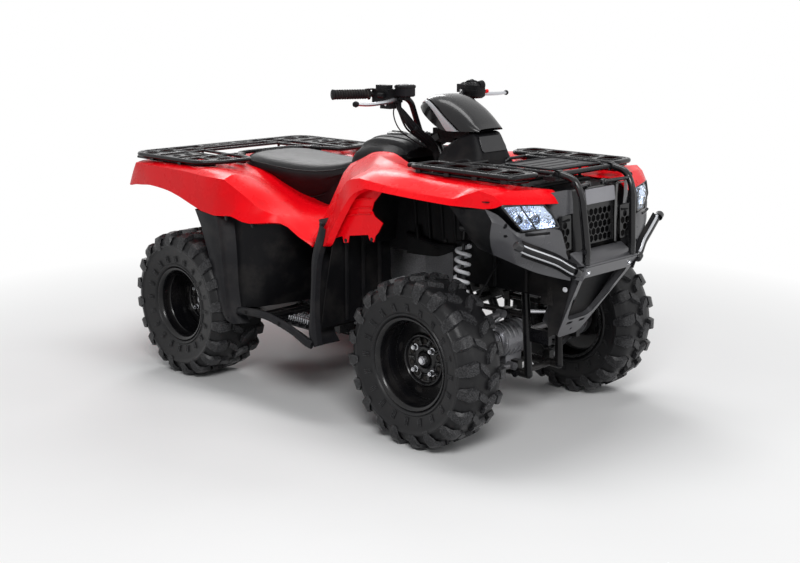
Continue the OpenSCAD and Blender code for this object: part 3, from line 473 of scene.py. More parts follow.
def make_rim(name, body, x, side, y_mid, half, r, y_disc, nodes):
    """A deep stepped steel rim: rolled lip, wells, pressed disc with a ring of slots, nuts and the hub. The slots and
    the oval windows are filled with dark sheets as painted shade.
    """
    s = side
    lip, dish = y_mid + half, y_disc
    out = [(lip - 0.004, r - 0.01), (lip - 0.001, r - 0.004), (lip - 0.0005, r - 0.001), (lip - 0.003, r + 0.0005),
           (lip - 0.007, r), (lip - 0.01, r - 0.01), (lip - 0.016, r - 0.0135), (lip - 0.042, r - 0.0165),
           (y_mid - half + 0.042, r - 0.0165), (y_mid - half + 0.014, r - 0.0135), (y_mid - half + 0.006, r - 0.001),
           (y_mid - half + 0.001, r - 0.002), (y_mid - half + 0.004, r - 0.012), (y_mid - half + 0.02, r - 0.019),
           (dish - 0.004, r - 0.021), (dish + 0.002, r - 0.023), (dish + 0.016, r - 0.0225), (lip - 0.05, r - 0.0215),
           (lip - 0.046, r - 0.0185), (lip - 0.024, r - 0.0175), (lip - 0.014, r - 0.0165)]
    rim = Shape().turned([(s * a, b) for a, b in out], (x, 0, HUB_Z), "y", 96, 0, closed=True)
    ratio = r / FRONT_RIM_R
    face = [(dish - 0.006, r - 0.021), (dish + 0.004, r - 0.022), (dish + 0.007, r - 0.03), (dish + 0.007, 0.1 * ratio),
            (dish + 0.011, 0.094 * ratio), (dish + 0.016, 0.09 * ratio), (dish + 0.017, 0.086 * ratio), (dish + 0.014,
        0.083 * ratio),
            (dish + 0.004, 0.08 * ratio), (dish + 0.002, 0.076 * ratio), (dish + 0.002, 0.052), (dish + 0.008, 0.046),
            (dish + 0.009, 0.038), (dish + 0.006, 0.033), (dish - 0.01, 0.032), (dish - 0.01, 0.05),
            (dish - 0.003, 0.055), (dish - 0.003, r - 0.032)]
    rim.turned([(s * a, b) for a, b in face], (x, 0, HUB_Z), "y", 96, 0, closed=True)

    def spot(angle, radius, y):
        return Vector((x + radius * math.sin(angle), s * y, HUB_Z + radius * math.cos(angle)))

    for k in range(10):  # pressed petals between the slots
        a = 2 * math.pi * (k + 0.5) / 10
        path = [spot(a, q, dish + 0.002 + h) for q, h in mm(((53, 2), (60, 4.5), (69, 4.5), (77, 1)))]
        rim.tube(path, 0.0065, 10, 0, radii=[0.004, 0.0075, 0.0085, 0.005], flat=0.7)
    # the slots are shallow dark cups: painted shade standing in for the holes
    for k in range(10):
        a = 2 * math.pi * k / 10
        rim.turned([(s * (dish + 0.0025), 0.0), (s * (dish + 0.0025), 0.0082), (s * (dish + 0.0045), 0.0092),
                    (s * (dish + 0.0045), 0.0104), (s * (dish + 0.001), 0.0112)],
                   (spot(a, 0.066, 0).x, 0, spot(a, 0.066, 0).z), "y", 18, 2)
    nuts = 4
    for k in range(nuts):
        a = 2 * math.pi * (k + 0.5) / nuts
        p = spot(a, 0.056, 0)
        rim.turned([(s * (dish + 0.004), 0.0125), (s * (dish + 0.01), 0.0115), (s * (dish + 0.0105), 0.009)],
                   (p.x, 0, p.z), "y", 24, 1)
        rim.turned([(s * (dish + 0.009), 0.0095), (s * (dish + 0.022), 0.0095), (s * (dish + 0.024), 0.008),
                    (s * (dish + 0.024), 0.0055), (s * (dish + 0.028), 0.005), (s * (dish + 0.028), 0)],
                   (p.x, 0, p.z), "y", 6, 1)
    for k in range(4):  # oval windows outside the nut ring
        a = 2 * math.pi * (k + 0.15) / 4
        rows = []
        for j in range(28):
            t = 2 * math.pi * j / 28
            row = []
            for grow, y in ((0.0, 0.0075), (0.7, 0.0082), (1.15, 0.008)):
                q = 0.116 * ratio + (0.0075 + 0.0035 * grow) * math.sin(t)
                row.append(spot(a + (0.017 + 0.0035 * grow) * math.cos(t) / 0.116, q, dish + y))
            rows.append(row)
        centre = spot(a, 0.116 * ratio, dish + 0.0074)
        rim.skin(rows + [rows[0]], 0)
        # a dark sheet closes each window: painted shade standing in for the hole
        rim.add([*[row[0] for row in rows], centre], [(j, (j + 1) % 28, 28) for j in range(28)], 2)
    hub = [(dish - 0.006, 0.0), (dish - 0.006, 0.031), (dish - 0.004, 0.0315), (dish - 0.004, 0.026),
           (dish + 0.006, 0.024), (dish + 0.008, 0.021), (dish + 0.008, 0.017)]
    rim.turned([(s * a, b) for a, b in hub], (x, 0, HUB_Z), "y", 40, 2)
    rim.turned([(s * (dish + 0.004), 0.016), (s * (dish + 0.018), 0.016), (s * (dish + 0.02), 0.013)],
               (x, 0, HUB_Z), "y", 6, 1)
    rim.turned([(s * (dish + 0.018), 0.011), (s * (dish + 0.026), 0.01), (s * (dish + 0.026), 0.0)],
               (x, 0, HUB_Z), "y", 24, 1)
    p = spot(2.2, r - 0.03, 0)  # tyre valve
    rim.turned([(s * (dish + 0.004), 0.0045), (s * (dish + 0.028), 0.004), (s * (dish + 0.036), 0.0032),
                (s * (dish + 0.036), 0)], (p.x, 0, p.z), "y", 14, 3)
    return rim.piece(name, body, "black_steel", ["rim", "zinc", "dark", "rubber"],
                     sharp=35, nodes=nodes)


# ---- bodywork -----------------------------------------------------------------------------

def sheet(rows, across=4, along=4):
    """A finer grid of points over rows of control points, smooth both ways."""
    fine = [curve_through(row, across) for row in rows]
    columns = [curve_through([row[k] for row in fine], along) for k in range(len(fine[0]))]
    return [list(row) for row in zip(*columns)]


def folded(rows, folds, across=5, along=5, creases=()):
    """A sheet that keeps a fold at the numbered columns and a crease at the numbered rows."""
    if creases:
        ends = [0, *creases, len(rows) - 1]
        parts = [folded(rows[a:b + 1], folds, across, along) for a, b in zip(ends, ends[1:])]
        return parts[0] + [row for part in parts[1:] for row in part[1:]]
    cuts = [0, *folds, len(rows[0]) - 1]
    parts = [sheet([row[a:b + 1] for row in rows], across, along) for a, b in zip(cuts, cuts[1:])]
    out = []
    for lines in zip(*parts):
        line = list(lines[0])
        for more in lines[1:]:
            line += list(more[1:])
        out.append(line)
    return out


def make_front_fender():
    """Front bodywork: nose strips over the lamps, ridged deck, lit arch band and the panel behind the wheel."""
    rows = mm([[(1004, 185, 860), (992, 270, 866), (964, 362, 872), (940, 409, 874), (934, 415, 871), (925, 410, 872)],
        [(992, 185, 884), (978, 270, 888), (950, 365, 890), (930, 414, 886), (916, 424, 862), (905, 414, 864)],
        [(965, 185, 902), (950, 270, 908), (925, 366, 911), (912, 426, 902), (880, 436, 856), (870, 424, 858)],
        [(890, 180, 899), (885, 280, 914), (880, 380, 921), (872, 450, 917), (830, 454, 858), (822, 440, 860)],
        [(800, 180, 898), (795, 282, 918), (790, 385, 917), (778, 470, 882), (774, 482, 861), (766, 464, 862)],
        [(700, 180, 897), (700, 285, 920), (700, 395, 917), (702, 476, 884), (705, 490, 864), (702, 472, 863)],
        [(590, 180, 897), (590, 288, 924), (590, 402, 920), (592, 478, 888), (605, 496, 868), (606, 478, 866)],
        [(480, 180, 897), (480, 285, 928), (478, 400, 926), (476, 480, 896), (492, 499, 873), (496, 480, 871)],
        [(370, 180, 903), (365, 275, 932), (350, 392, 930), (345, 478, 908), (392, 499, 878), (402, 482, 873)],
        [(285, 172, 930), (275, 262, 944), (268, 382, 915), (270, 470, 888), (330, 500, 850), (342, 484, 846)],
        [(195, 160, 957), (192, 240, 955), (200, 368, 868), (215, 465, 820), (276, 500, 790), (292, 484, 786)],
        [(85, 150, 950), (90, 215, 934), (112, 340, 806), (142, 452, 725), (222, 500, 712), (240, 484, 708)],
        [(20, 150, 922), (25, 203, 900), (48, 322, 752), (85, 440, 668), (185, 498, 652), (202, 482, 650)],
        [(-50, 150, 893), (-50, 188, 862), (-40, 300, 708), (10, 410, 632), (125, 470, 632), (142, 456, 632)]])
    shape = Shape().skin(folded(rows, (1, 3, 4), 4, 4, creases=(2, 3, 4, 8)), 0)
    shape.both_sides()
    shell = shape.piece("front_fender_shell", "chassis", "red_plastic", ["red"], sharp=24, thick=0.0035,
                        round_edges=0.0012, nodes=("front_fender",))
    inner = Shape()
    outline = mm([(205, 835), (300, 862), (440, 872), (428, 858), (396, 826), (385, 796), (400, 776), (440, 757), (418,
        722), (402, 706), (394, 684), (374, 688), (366, 706), (268, 690), (262, 664), (240, 660), (232, 684), (130,
        650), (190, 740)])
    inner.prism([(x, z) for x, z in outline], "y", 0.455, 0.459, 0)
    ridge = mm([(250, 462, 812), (330, 462, 832), (385, 462, 838)])
    for drop in (0.0, 0.03, 0.052):
        inner.tube([(x, y, z - drop) for x, y, z in ridge], 0.0035, 8, 0, flat=0.8)
    for x, z in ((0.384, 0.692), (0.25, 0.67)):
        inner.bolt((x, 0.459, z), (0, 1, 0), 0.005, 0.003, 1)
    inner.both_sides()
    panel = inner.piece("front_fender_inner", "chassis", "red_plastic", ["red", "paint"], sharp=30,
                        round_edges=0.0015)
    deck = Shape()
    rows = [[(x, y, z) for y in (-0.186, -0.12, 0.0, 0.12, 0.186)] for x, z in
            mm(((985, 872), (955, 890), (800, 892), (620, 892), (440, 892), (360, 892)))]
    deck.skin(sheet(rows, 3, 3))
    for x in (0.5, 0.62, 0.74, 0.86):
        deck.tube([(x, -0.16, 0.894), (x, 0.16, 0.894)], 0.006, 8)
    deck.piece("front_deck", "chassis", "black_plastic", ["plastic"], sharp=30, thick=0.0025)
    return shell, panel


def make_rear_fender():
    """Rear bodywork: long tail with a turned-down lip, folded sides, and the well under the seat."""
    rows = mm([[(-1066, 0, 742), (-1074, 250, 742), (-1083, 420, 741), (-1084, 492, 741), (-1070, 500, 742), (-1066,
        486, 744)], [(-1050, 0, 800), (-1056, 250, 802), (-1062, 420, 806), (-1052, 492, 802), (-1020, 507, 752),
        (-1020, 490, 752)], [(-1036, 0, 826), (-1040, 250, 834), (-1038, 425, 845), (-1020, 498, 840), (-968, 512,
        756), (-968, 495, 756)], [(-925, 0, 828), (-925, 250, 840), (-920, 440, 851), (-902, 508, 842), (-880, 524,
        764), (-880, 506, 762)], [(-780, 0, 826), (-780, 250, 841), (-770, 455, 854), (-752, 518, 842), (-740, 536,
        758), (-740, 518, 756)], [(-650, 0, 826), (-650, 245, 838), (-635, 462, 855), (-614, 526, 842), (-640, 545,
        742), (-640, 527, 740)], [(-560, 0, 822), (-560, 235, 826), (-530, 468, 856), (-505, 534, 838), (-560, 550,
        722), (-558, 532, 720)], [(-500, 0, 805), (-500, 228, 808), (-475, 462, 854), (-454, 538, 838), (-490, 552,
        704), (-486, 534, 702)], [(-435, 0, 776), (-435, 222, 780), (-385, 446, 846), (-360, 534, 836), (-405, 554,
        696), (-402, 534, 694)], [(-350, 0, 744), (-350, 212, 744), (-300, 408, 792), (-268, 506, 778), (-306, 548,
        704), (-306, 530, 700)], [(-270, 0, 722), (-270, 200, 718), (-245, 370, 742), (-215, 470, 728), (-238, 516,
        680), (-234, 500, 678)], [(-190, 0, 712), (-190, 184, 706), (-172, 328, 702), (-140, 420, 694), (-125, 452,
        686), (-124, 438, 682)], [(-110, 0, 716), (-110, 168, 712), (-96, 302, 680), (-70, 392, 650), (-52, 424, 640),
        (-52, 410, 638)], [(-40, 0, 722), (-40, 152, 718), (-26, 286, 664), (-8, 372, 618), (6, 402, 606), (4, 388,
        606)]])
    whole = [flip(list(reversed(row)))[:-1] + row for row in rows]
    grid = folded(whole, (1, 2, 4, 6, 8, 9), 3, 3, creases=(2, 5, 7, 8, 9))
    shape = Shape().skin(grid, 0)
    shell = shape.piece("rear_fender_shell", "chassis", "red_plastic", ["red"], sharp=24, thick=0.0035,
                        round_edges=0.0012, nodes=("rear_fender",))
    pads = Shape()
    for x in (-0.93, -0.7335):
        pads.block((x - 0.013, 0.203, 0.828), (x + 0.013, 0.229, 0.8428))
    pads.both_sides()
    pads.piece("rack_pads", "chassis", "black_plastic", ["rubber"], round_edges=0.002)
    return shell


def make_covers():
    """Black covers: ridged tank cover, cap, and the nose cowl with its blank badge plate."""
    tank = Shape()
    rings = []
    for x, w, z, side in mm(((-83, 110, 930, 900), (-62, 120, 962, 920), (-30, 128, 986, 932), (40, 138, 1002, 944),
            (140, 148, 1001, 948), (190, 150, 992, 946), (212, 148, 968, 940))):
        half = [(x, 0.0, z), (x, w * 0.32, z + 0.001), (x, w * 0.4, z - 0.006), (x, w * 0.62, z - 0.01),
                (x, w * 0.72, z - 0.026), (x, w * 0.95, side + 0.006), (x, w, side - 0.01), (x - 0.004, w + 0.004,
            0.862)]
        rings.append(flip(list(reversed(half)))[:-1] + half)
    tank.skin(folded(rings, (1, 3, 5, 9, 11, 13), 2, 4))
    tank.skin([[(p[0] + 0.001, p[1] * 0.98, p[2]) for p in rings[-1]],
               [(p[0] - 0.01, p[1] * 0.6, min(p[2], 0.93)) for p in rings[-1]]])
    tank.skin([[(p[0], p[1], p[2]) for p in rings[0]], [(p[0] + 0.004, p[1] * 0.8, min(p[2] - 0.02,
        0.9)) for p in rings[0]]])
    for side in (-1, 1):
        for k in range(5):
            y = side * (0.084 + k * 0.011)
            tank.tube([(0.15 - k * 0.012, y, 0.981 - k * 0.01), (0.196 - k * 0.01, y, 0.976 - k * 0.01)], 0.0035, 8, 0)
    tank.piece("tank_cover_shell", "chassis", "black_plastic", ["plastic"], sharp=22, thick=0.003,
               round_edges=0.0015, nodes=("tank_cover",))
    cap = Shape().turned(mm([(0, 41), (4, 42), (10, 40), (13, 36), (14.5, 28), (15, 0)]),
                         (0.06, 0, 1.0005), "z", 48)
    for k in range(20):
        a = 2 * math.pi * k / 20
        c, s = math.cos(a), math.sin(a)
        cap.tube([(0.06 + 0.0405 * c, 0.0405 * s, 1.002), (0.06 + 0.0395 * c, 0.0395 * s, 1.01)], 0.0024, 8)
    cap.block((0.034, -0.006, 1.012), (0.086, 0.006, 1.019))
    cap.piece("fuel_cap_shell", "chassis", "black_plastic", ["smooth"], round_edges=0.001, nodes=("fuel_cap",))
    nose = Shape()
    rings = []
    for x, w, top, shoulder in mm(((372, 112, 975, 930), (410, 122, 1000, 942), (455, 118, 1026, 950), (490, 104, 1041,
            960), (518, 98, 1042, 962), (544, 100, 1000, 945), (562, 104, 960, 928), (570, 110, 930, 914))):
        half = [(x, 0.0, top), (x, w * 0.62, top - 0.001), (x, w * 0.74, top - 0.01), (x, w * 0.96, shoulder),
                (x, w * 1.06, shoulder - 0.012), (x, w * 1.16, 0.8975)]
        rings.append(flip(list(reversed(half)))[:-1] + half)
    nose.skin(folded(rings, (1, 3, 7, 9), 3, 4))
    nose.skin([rings[0], [(p[0] + 0.006, p[1] * 0.8, min(p[2] - 0.02, 0.93)) for p in rings[0]]])
    nose.piece("nose_cowl_shell", "chassis", "black_plastic", ["plastic"], sharp=22, thick=0.003,
               round_edges=0.0015, nodes=("nose_cowl",))
    badge = Shape()
    face = mm([(528.5, 60, 1032), (549.5, 68, 990.5), (556, 62, 977)])
    rows = [[(x, y, z) for y in np.linspace(-w, w, 7)] for x, w, z in face]
    badge.skin([[(p[0] + 0.0035 - 0.02 * abs(p[1]) ** 1.5, p[1], p[2] + 0.002) for p in row] for row in rows])
    badge.piece("nose_badge_plate", "chassis", "black_plastic", ["smooth"], thick=0.002, round_edges=0.001)


def make_seat():
    """The seat: a crowned foam pad in vinyl, pulled in at its sides, with welts along its sides and one across near its
    rear end.
    """
    rings = []
    for x, w, low, top, waist in mm(((-738, 105, 848, 862, 0), (-726, 134, 842, 874, 0), (-690, 164, 842, 884, 100),
            (-630, 186, 836, 889, 250), (-560, 194, 806, 887, 450), (-480, 193, 768, 884, 550), (-400, 188, 740, 881,
        550), (-320, 180, 730, 880, 500), (-250, 170, 742, 882, 450), (-195, 160, 766, 887, 450), (-145, 148, 802, 894,
        400), (-108, 134, 838, 901, 300), (-88, 116, 850, 902, 100))):
        mid, tall = (low + top) / 2, top - low
        half = [(x, 0.0, top), (x, w * 0.45, top - 0.0015), (x, w * 0.8, top - 0.01 - 0.03 * tall),
                (x, w * 0.965, top - 0.03 - 0.05 * tall), (x, w * 1.0, top - 0.045 - 0.15 * tall),
                (x, w * (0.985 - 0.05 * waist), mid - 0.12 * tall), (x, w * (0.93 - 0.1 * waist), low + 0.16 * tall),
                (x, w * (0.86 - 0.16 * waist), low + 0.02 * tall), (x, w * 0.5, low + 0.004), (x, 0.0, low + 0.006)]
        if tall < 0.06:
            half = [(x, y, max(min(z, top), low)) for _, y, z in half]
        rings.append(half + flip(list(reversed(half)))[1:-1])
    rows = [curve_through([*ring, ring[0]], 4)[:-1] for ring in rings]
    fine = [curve_through([row[k] for row in rows], 4) for k in range(len(rows[0]))]
    pad = Shape().skin([list(r) for r in zip(*fine)], 0, around=True, ends=True)
    cushion = pad.piece("seat_pad", "chassis", "seat_vinyl", ["vinyl"], sharp=60, smooth=1, nodes=("seat",))
    trim = Shape()
    for side in (1, -1):
        line = [(ring[3][0], side * (abs(ring[3][1]) + 0.0012), ring[3][2] + 0.0005) for ring in rings[2:-1]]
        trim.tube(curve_through(line, 6), 0.0018, 8, 0)
        low = [(ring[7][0], side * (abs(ring[7][1]) + 0.001), ring[7][2] - 0.001) for ring in rings[2:-1]]
        trim.tube(curve_through(low, 6), 0.0034, 8, 0)
    across = [(-0.69, p[1], p[2] + 0.001) for p in rings[2][:5]]
    trim.tube(curve_through(flip(list(reversed(across)))[:-1] + across, 5), 0.002, 8, 0)
    trim.piece("seat_welts", "chassis", "seat_vinyl", ["vinyl"])
    return cushion


def make_flares():
    """Dark grey mudguards: the curved strip behind and before each footwell, and their inner walls."""
    flare = Shape()
    # rear strip: outer edge and the fold that turns in over the tyre
    back = mm([(-540, 548, 702), (-492, 556, 640), (-445, 566, 560), (-405, 572, 480), (-375, 578, 400), (-338, 584,
        330), (-318, 584, 300)])
    front = mm([(-395, 552, 694), (-375, 558, 640), (-352, 566, 560), (-335, 572, 480), (-318, 578, 400), (-296, 584,
        330), (-268, 584, 284)])
    rows = []
    for b, f in zip(back, front):
        b, f = Vector(b), Vector(f)
        rows.append([tuple(b + Vector((0.004, -0.11, 0.0))), tuple(b + Vector((0.0, -0.012, 0.0))), tuple(b),
            tuple(b.lerp(f, 0.5) + Vector((0, 0.004, 0))), tuple(f), tuple(f + Vector((0.006, -0.016, 0.0))),
            tuple(f + Vector((0.03, -0.06, 0.0)))])
    flare.skin(folded(rows, (2, 4, 5), 4, 4), 0)
    # inner wall before the rear wheel
    rows = mm([[(-362, 490, 698), (-300, 496, 702), (-240, 488, 680), (-150, 420, 690), (-120, 300, 685)],
        [(-345, 505, 600), (-290, 505, 600), (-235, 480, 590), (-165, 400, 590), (-140, 280, 590)], [(-318, 520, 480),
        (-270, 516, 480), (-225, 480, 470), (-180, 385, 470), (-160, 260, 470)], [(-292, 535, 345), (-255, 526, 345),
        (-215, 480, 345), (-190, 370, 345), (-175, 250, 345)]])
    flare.skin(folded(rows, (2,), 4, 4), 1)
    # cover of the wheel's front, over the rear tyre towards the frame
    arc = [(-0.455 + 0.0, 0.69), (-0.35, 0.6), (-0.285, 0.47), (-0.262, 0.345)]
    flare.skin(sheet([[(x + 0.012, y, z) for y in (0.3, 0.4, 0.5)] for x, z in arc], 2, 4), 1)
    # front strip
    outer = mm([(98, 452, 726), (118, 470, 700), (112, 500, 600), (128, 522, 500), (140, 540, 400), (150, 556, 318),
        (186, 562, 278)])
    inner = mm([(150, 470, 700), (158, 482, 668), (148, 506, 590), (155, 524, 500), (166, 540, 410), (186, 552, 330),
        (200, 558, 285)])
    rows = []
    for b, f in zip(outer, inner):
        b, f = Vector(b), Vector(f)
        rows.append([tuple(b + Vector((0.006, -0.12, 0.0))), tuple(b + Vector((-0.002, -0.05, 0.0))), tuple(b),
            tuple(b.lerp(f, 0.5) + Vector((0, 0.003, 0))), tuple(f), tuple(f + Vector((0.006, -0.02, 0)))])
    flare.skin(folded(rows, (2, 4), 4, 4), 0)
    # wall behind the front wheel, with its stiffening ribs
    rows = [[(0.205, y, z) for y in (0.19, 0.3, 0.4, yo)] for z, yo in mm(((700, 462), (600, 482), (480, 506), (345,
        530)))]
    flare.skin(sheet([[(x - 0.05 * (y - 0.19), y, z) for x, y, z in row] for row in rows], 3, 4), 1)
    for y in (0.25, 0.33, 0.41):
        flare.tube([(0.212 - 0.05 * (y - 0.19), y, 0.685), (0.212 - 0.05 * (y - 0.19), y, 0.36)], 0.006, 8, 1)
    for place in mm(((-330, 553.5, 692), (-236, 500, 668), (122, 464, 712), (-300, 586, 305))):
        flare.bolt(place, (0, 1, 0), 0.006, 0.003, 2)
    flare.both_sides()
    return flare.piece("mudguard_flares", "chassis", "grey_plastic", ["flare", "plastic", "paint"],
                       sharp=26, thick=0.003, round_edges=0.001, nodes=("mudguards",))


def make_footwells():
    """Foot boards with serrated pegs and the edge rail."""
    board = Shape()
    rows = [[(x, y, 0.318 + (0.012 if y > 0.5 else 0.0)) for y in (0.25, 0.33, 0.42, 0.5, 0.545)] for x in (-0.44,
        -0.24, -0.12, 0.0, 0.14)]
    board.skin(sheet(rows, 3, 3), 0)
    for k in range(9):
        x = -0.215 + k * 0.041
        board.tube([(x, 0.27, 0.321), (x, 0.5, 0.321)], 0.0035, 8, 0)
    for k in range(3):
        y = 0.3 + k * 0.085
        board.tube([(-0.225, y, 0.3195), (0.125, y, 0.3195)], 0.0035, 8, 0)
    for k in range(12):  # serrated peg
        x = -0.06 + k * 0.012
        board.prism(mm([(395, 322), (400, 338), (412, 329), (424, 338), (436, 329), (448, 338), (460, 329), (472, 338),
            (478, 322)]), "x", x, x + 0.004, 1)
    edge = bent_path(mm([(-262, 556, 334), (-235, 560, 340), (-90, 562, 350), (60, 564, 322), (150, 566, 288), (172,
        560, 282)]), 0.05, 6)
    board.tube(edge, 0.0125, 14, 2, flat=1.25)
    inner = bent_path(mm([(-235, 540, 330), (-90, 542, 338), (70, 544, 312), (150, 544, 286)]), 0.05, 6)
    board.tube(inner, 0.008, 10, 0)
    for place in mm(((-200, 574, 342), (0, 576, 336))):
        board.bolt(place, (0, 1, 0), 0.006, 0.003, 0)
    board.both_sides()
    return board.piece("foot_boards", "chassis", "grey_plastic", ["plastic", "zinc", "flare"],
                       sharp=30, round_edges=0.0008, nodes=("footrests",))


def make_side_covers():
    """Ribbed covers between the engine and the footwells, and the shields ahead of them."""
    cover = Shape()
    rows = mm([[(-300, 200, 650), (-200, 206, 655), (-80, 196, 660), (60, 192, 655), (190, 188, 650)],
        [(-300, 214, 520), (-200, 222, 520), (-80, 212, 520), (60, 206, 520), (190, 200, 520)], [(-300, 222, 400),
        (-200, 230, 400), (-80, 222, 400), (60, 214, 400), (190, 208, 400)], [(-290, 228, 330), (-200, 234, 330),
        (-80, 228, 330), (60, 220, 330), (190, 214, 330)]])
    cover.skin(sheet(rows, 4, 4), 0)
    for k, x in enumerate((-0.255, -0.205, -0.15, -0.09, -0.03, 0.03, 0.09, 0.145)):
        y = 0.224 - 0.00035 * (k * 8)
        cover.tube(bent_path([(x, y - 0.012, 0.635), (x + 0.004, y + 0.008, 0.5), (x + 0.006, y + 0.01, 0.345)], 0.1),
            0.0055, 8, 0)
    for place in mm(((-280, 212, 620), (170, 198, 620), (170, 214, 350))):
        cover.bolt(place, (0, 1, 0), 0.006, 0.003, 1)
    # frame-coloured struts and the fuel tap seen under the seat's low point
    cover.tube(bent_path(mm([(-60, 262, 640), (-105, 268, 560), (-60, 262, 470)]), 0.03), 0.009, 12, 1)
    cover.tube(mm([(-120, 250, 650), (-105, 262, 590)]), 0.011, 12, 2)
    cover.both_sides()
    cover.piece("side_cover_panels", "chassis", "black_plastic", ["plastic", "paint", "zinc"],
                sharp=28, thick=0.003, round_edges=0.001, nodes=("side_covers",))
    shield = Shape()
    rows = mm([[(300, 192, 872), (400, 180, 872), (460, 176, 870), (520, 166, 868)], [(290, 190, 740), (400, 172, 740),
        (460, 168, 740), (530, 160, 740)], [(290, 186, 640), (400, 168, 640), (460, 166, 640), (545, 158, 650)],
        [(290, 184, 590), (400, 164, 590), (450, 162, 600), (520, 156, 630)]])
    shield.skin(sheet(rows, 4, 4), 0)
    for x in (0.33, 0.39, 0.45, 0.505):
        shield.tube([(x, 0.184 - 0.12 * (x - 0.33) + 0.006, 0.855), (x + 0.01, 0.18 - 0.12 * (x - 0.33), 0.66)], 0.004,
            8, 0)
    shield.tube(bent_path(mm([(300, 192, 668), (380, 182, 655), (440, 182, 640), (520, 170, 645)]), 0.03), 0.006, 8, 0)
    shield.tube(mm([(350, 190, 700), (362, 196, 655)]), 0.007, 8, 0)
    for place in mm(((310, 194, 850), (500, 170, 860), (470, 168, 660))):
        shield.bolt(place, (0, 1, 0), 0.006, 0.003, 1)
    shield.both_sides()
    return shield.piece("splash_shield_panels", "chassis", "black_plastic", ["plastic", "paint"],
                        sharp=28, thick=0.003, round_edges=0.001, nodes=("splash_shields",))


def make_liners():
    """Dark liners inside the front wheel arches, dark sheets closing the arches and a dark panel under the seat and
    tank as painted shade, and the finned radiator between them.
    """
    liner = Shape()
    rows = [[(0.5, 0.158, z), (0.64, 0.155, z), (0.78, 0.152, z), (0.93, 0.15, z)] for z in (0.868, 0.76, 0.64, 0.52)]
    liner.skin(sheet(rows, 3, 3), 0)
    # dark sheets behind and over each front wheel that close the arch: painted shade standing in for the shaded space
    # under the fender
    liner.skin(mm([[(215, 196, 880), (310, 188, 880)], [(200, 198, 600), (310, 180, 600)]]), 0)
    liner.skin(sheet([[(x, y, z) for y, z in mm(((156, 884), (300, 888), (440, 878)))] for x in (0.255, 0.42, 0.6,
        0.76, 0.9)], 3, 3), 0)
    liner.skin(sheet([[(x, 0.165 + 0.1 * k, z) for k in range(3)] for x, z in mm(((255, 884), (250, 760), (240,
        640)))], 3, 3), 0)
    # a dark panel inboard of the side covers, under the seat and tank: painted shade standing in for the shaded space
    # there
    tops = mm(((-420, 748), (-320, 742), (-250, 754), (-190, 780), (-140, 818), (-100, 852), (-20, 880), (80, 880)))
    liner.skin([[(x, 0.13, top), (x, 0.134, (top + 0.6) / 2), (x, 0.138, 0.6)] for x, top in tops], 0)
    for x in (0.56, 0.7, 0.84):
        liner.tube([(x, 0.159, 0.85), (x, 0.156, 0.53)], 0.0045, 8, 0)
    liner.both_sides()
    liner.piece("arch_liners_and_shade_sheets", "chassis", "black_plastic", ["plastic"], sharp=28, thick=0.003, round_edges=0.001)
    core = Shape().block((0.905, -0.14, 0.5), (0.935, 0.14, 0.85), 0)
    for k in range(24):
        core.block((0.9345, -0.136, 0.508 + 0.014 * k), (0.94, 0.136, 0.512 + 0.014 * k), 1)
    for side in (-1, 1):
        core.block((0.9, side * 0.1495, 0.495), (0.945, side * 0.1385, 0.855), 0)
    core.turned(mm([(0, 105), (0, 118), (-30, 118), (-30, 30), (-36, 0)]), (0.905, 0.0, 0.69), "x", 36, 0)
    return core.piece("radiator", "chassis", "black_plastic", ["dark", "cast"], sharp=30)


# ---- racks and guards ---------------------------------------------------------------------

def loop_path(corners, radius, steps=5):
    """A closed path whose corners are rounded to that radius."""
    start = Vector(corners[0]).lerp(Vector(corners[-1]), 0.5)
    return bent_path([start, *corners, start], radius, steps)[:-1]


def outline(corners, radius=0.008):
    """A flat outline with rounded corners."""
    return [(p.x, p.y) for p in loop_path([(*c, 0.0) for c in corners], radius, 3)]


def window(a, b, radius=0.012):
    """A rounded opening from one corner to the opposite one."""
    return outline([(a[0], a[1]), (b[0], a[1]), (b[0], b[1]), (a[0], b[1])], radius)


def circle(u, v, r, count=20, turn=0.0):
    return [(u + r * math.cos(turn + 2 * math.pi * k / count), v + r * math.sin(turn + 2 * math.pi * k / count))
            for k in range(count)]


def plate(shape, edge, holes, place, thick=0.003, finish=0):
    """A flat plate with holes. place turns (u, v, depth) into a point."""
    loops = [edge, *holes]
    tris = tessellate_polygon([[Vector((u, v, 0)) for u, v in loop] for loop in loops])
    flat = [p for loop in loops for p in loop]
    n, start = len(flat), 0
    faces = [tuple(t) for t in tris] + [tuple(n + i for i in reversed(t)) for t in tris]
    for loop in loops:
        m = len(loop)
        faces += [(start + k, start + (k + 1) % m, n + start + (k + 1) % m, n + start + k) for k in range(m)]
        start += m
    return shape.add([place(u, v, d) for d in (0, thick) for u, v in flat], faces, finish)


def level(z):
    return lambda u, v, d: (u, v, z + d)


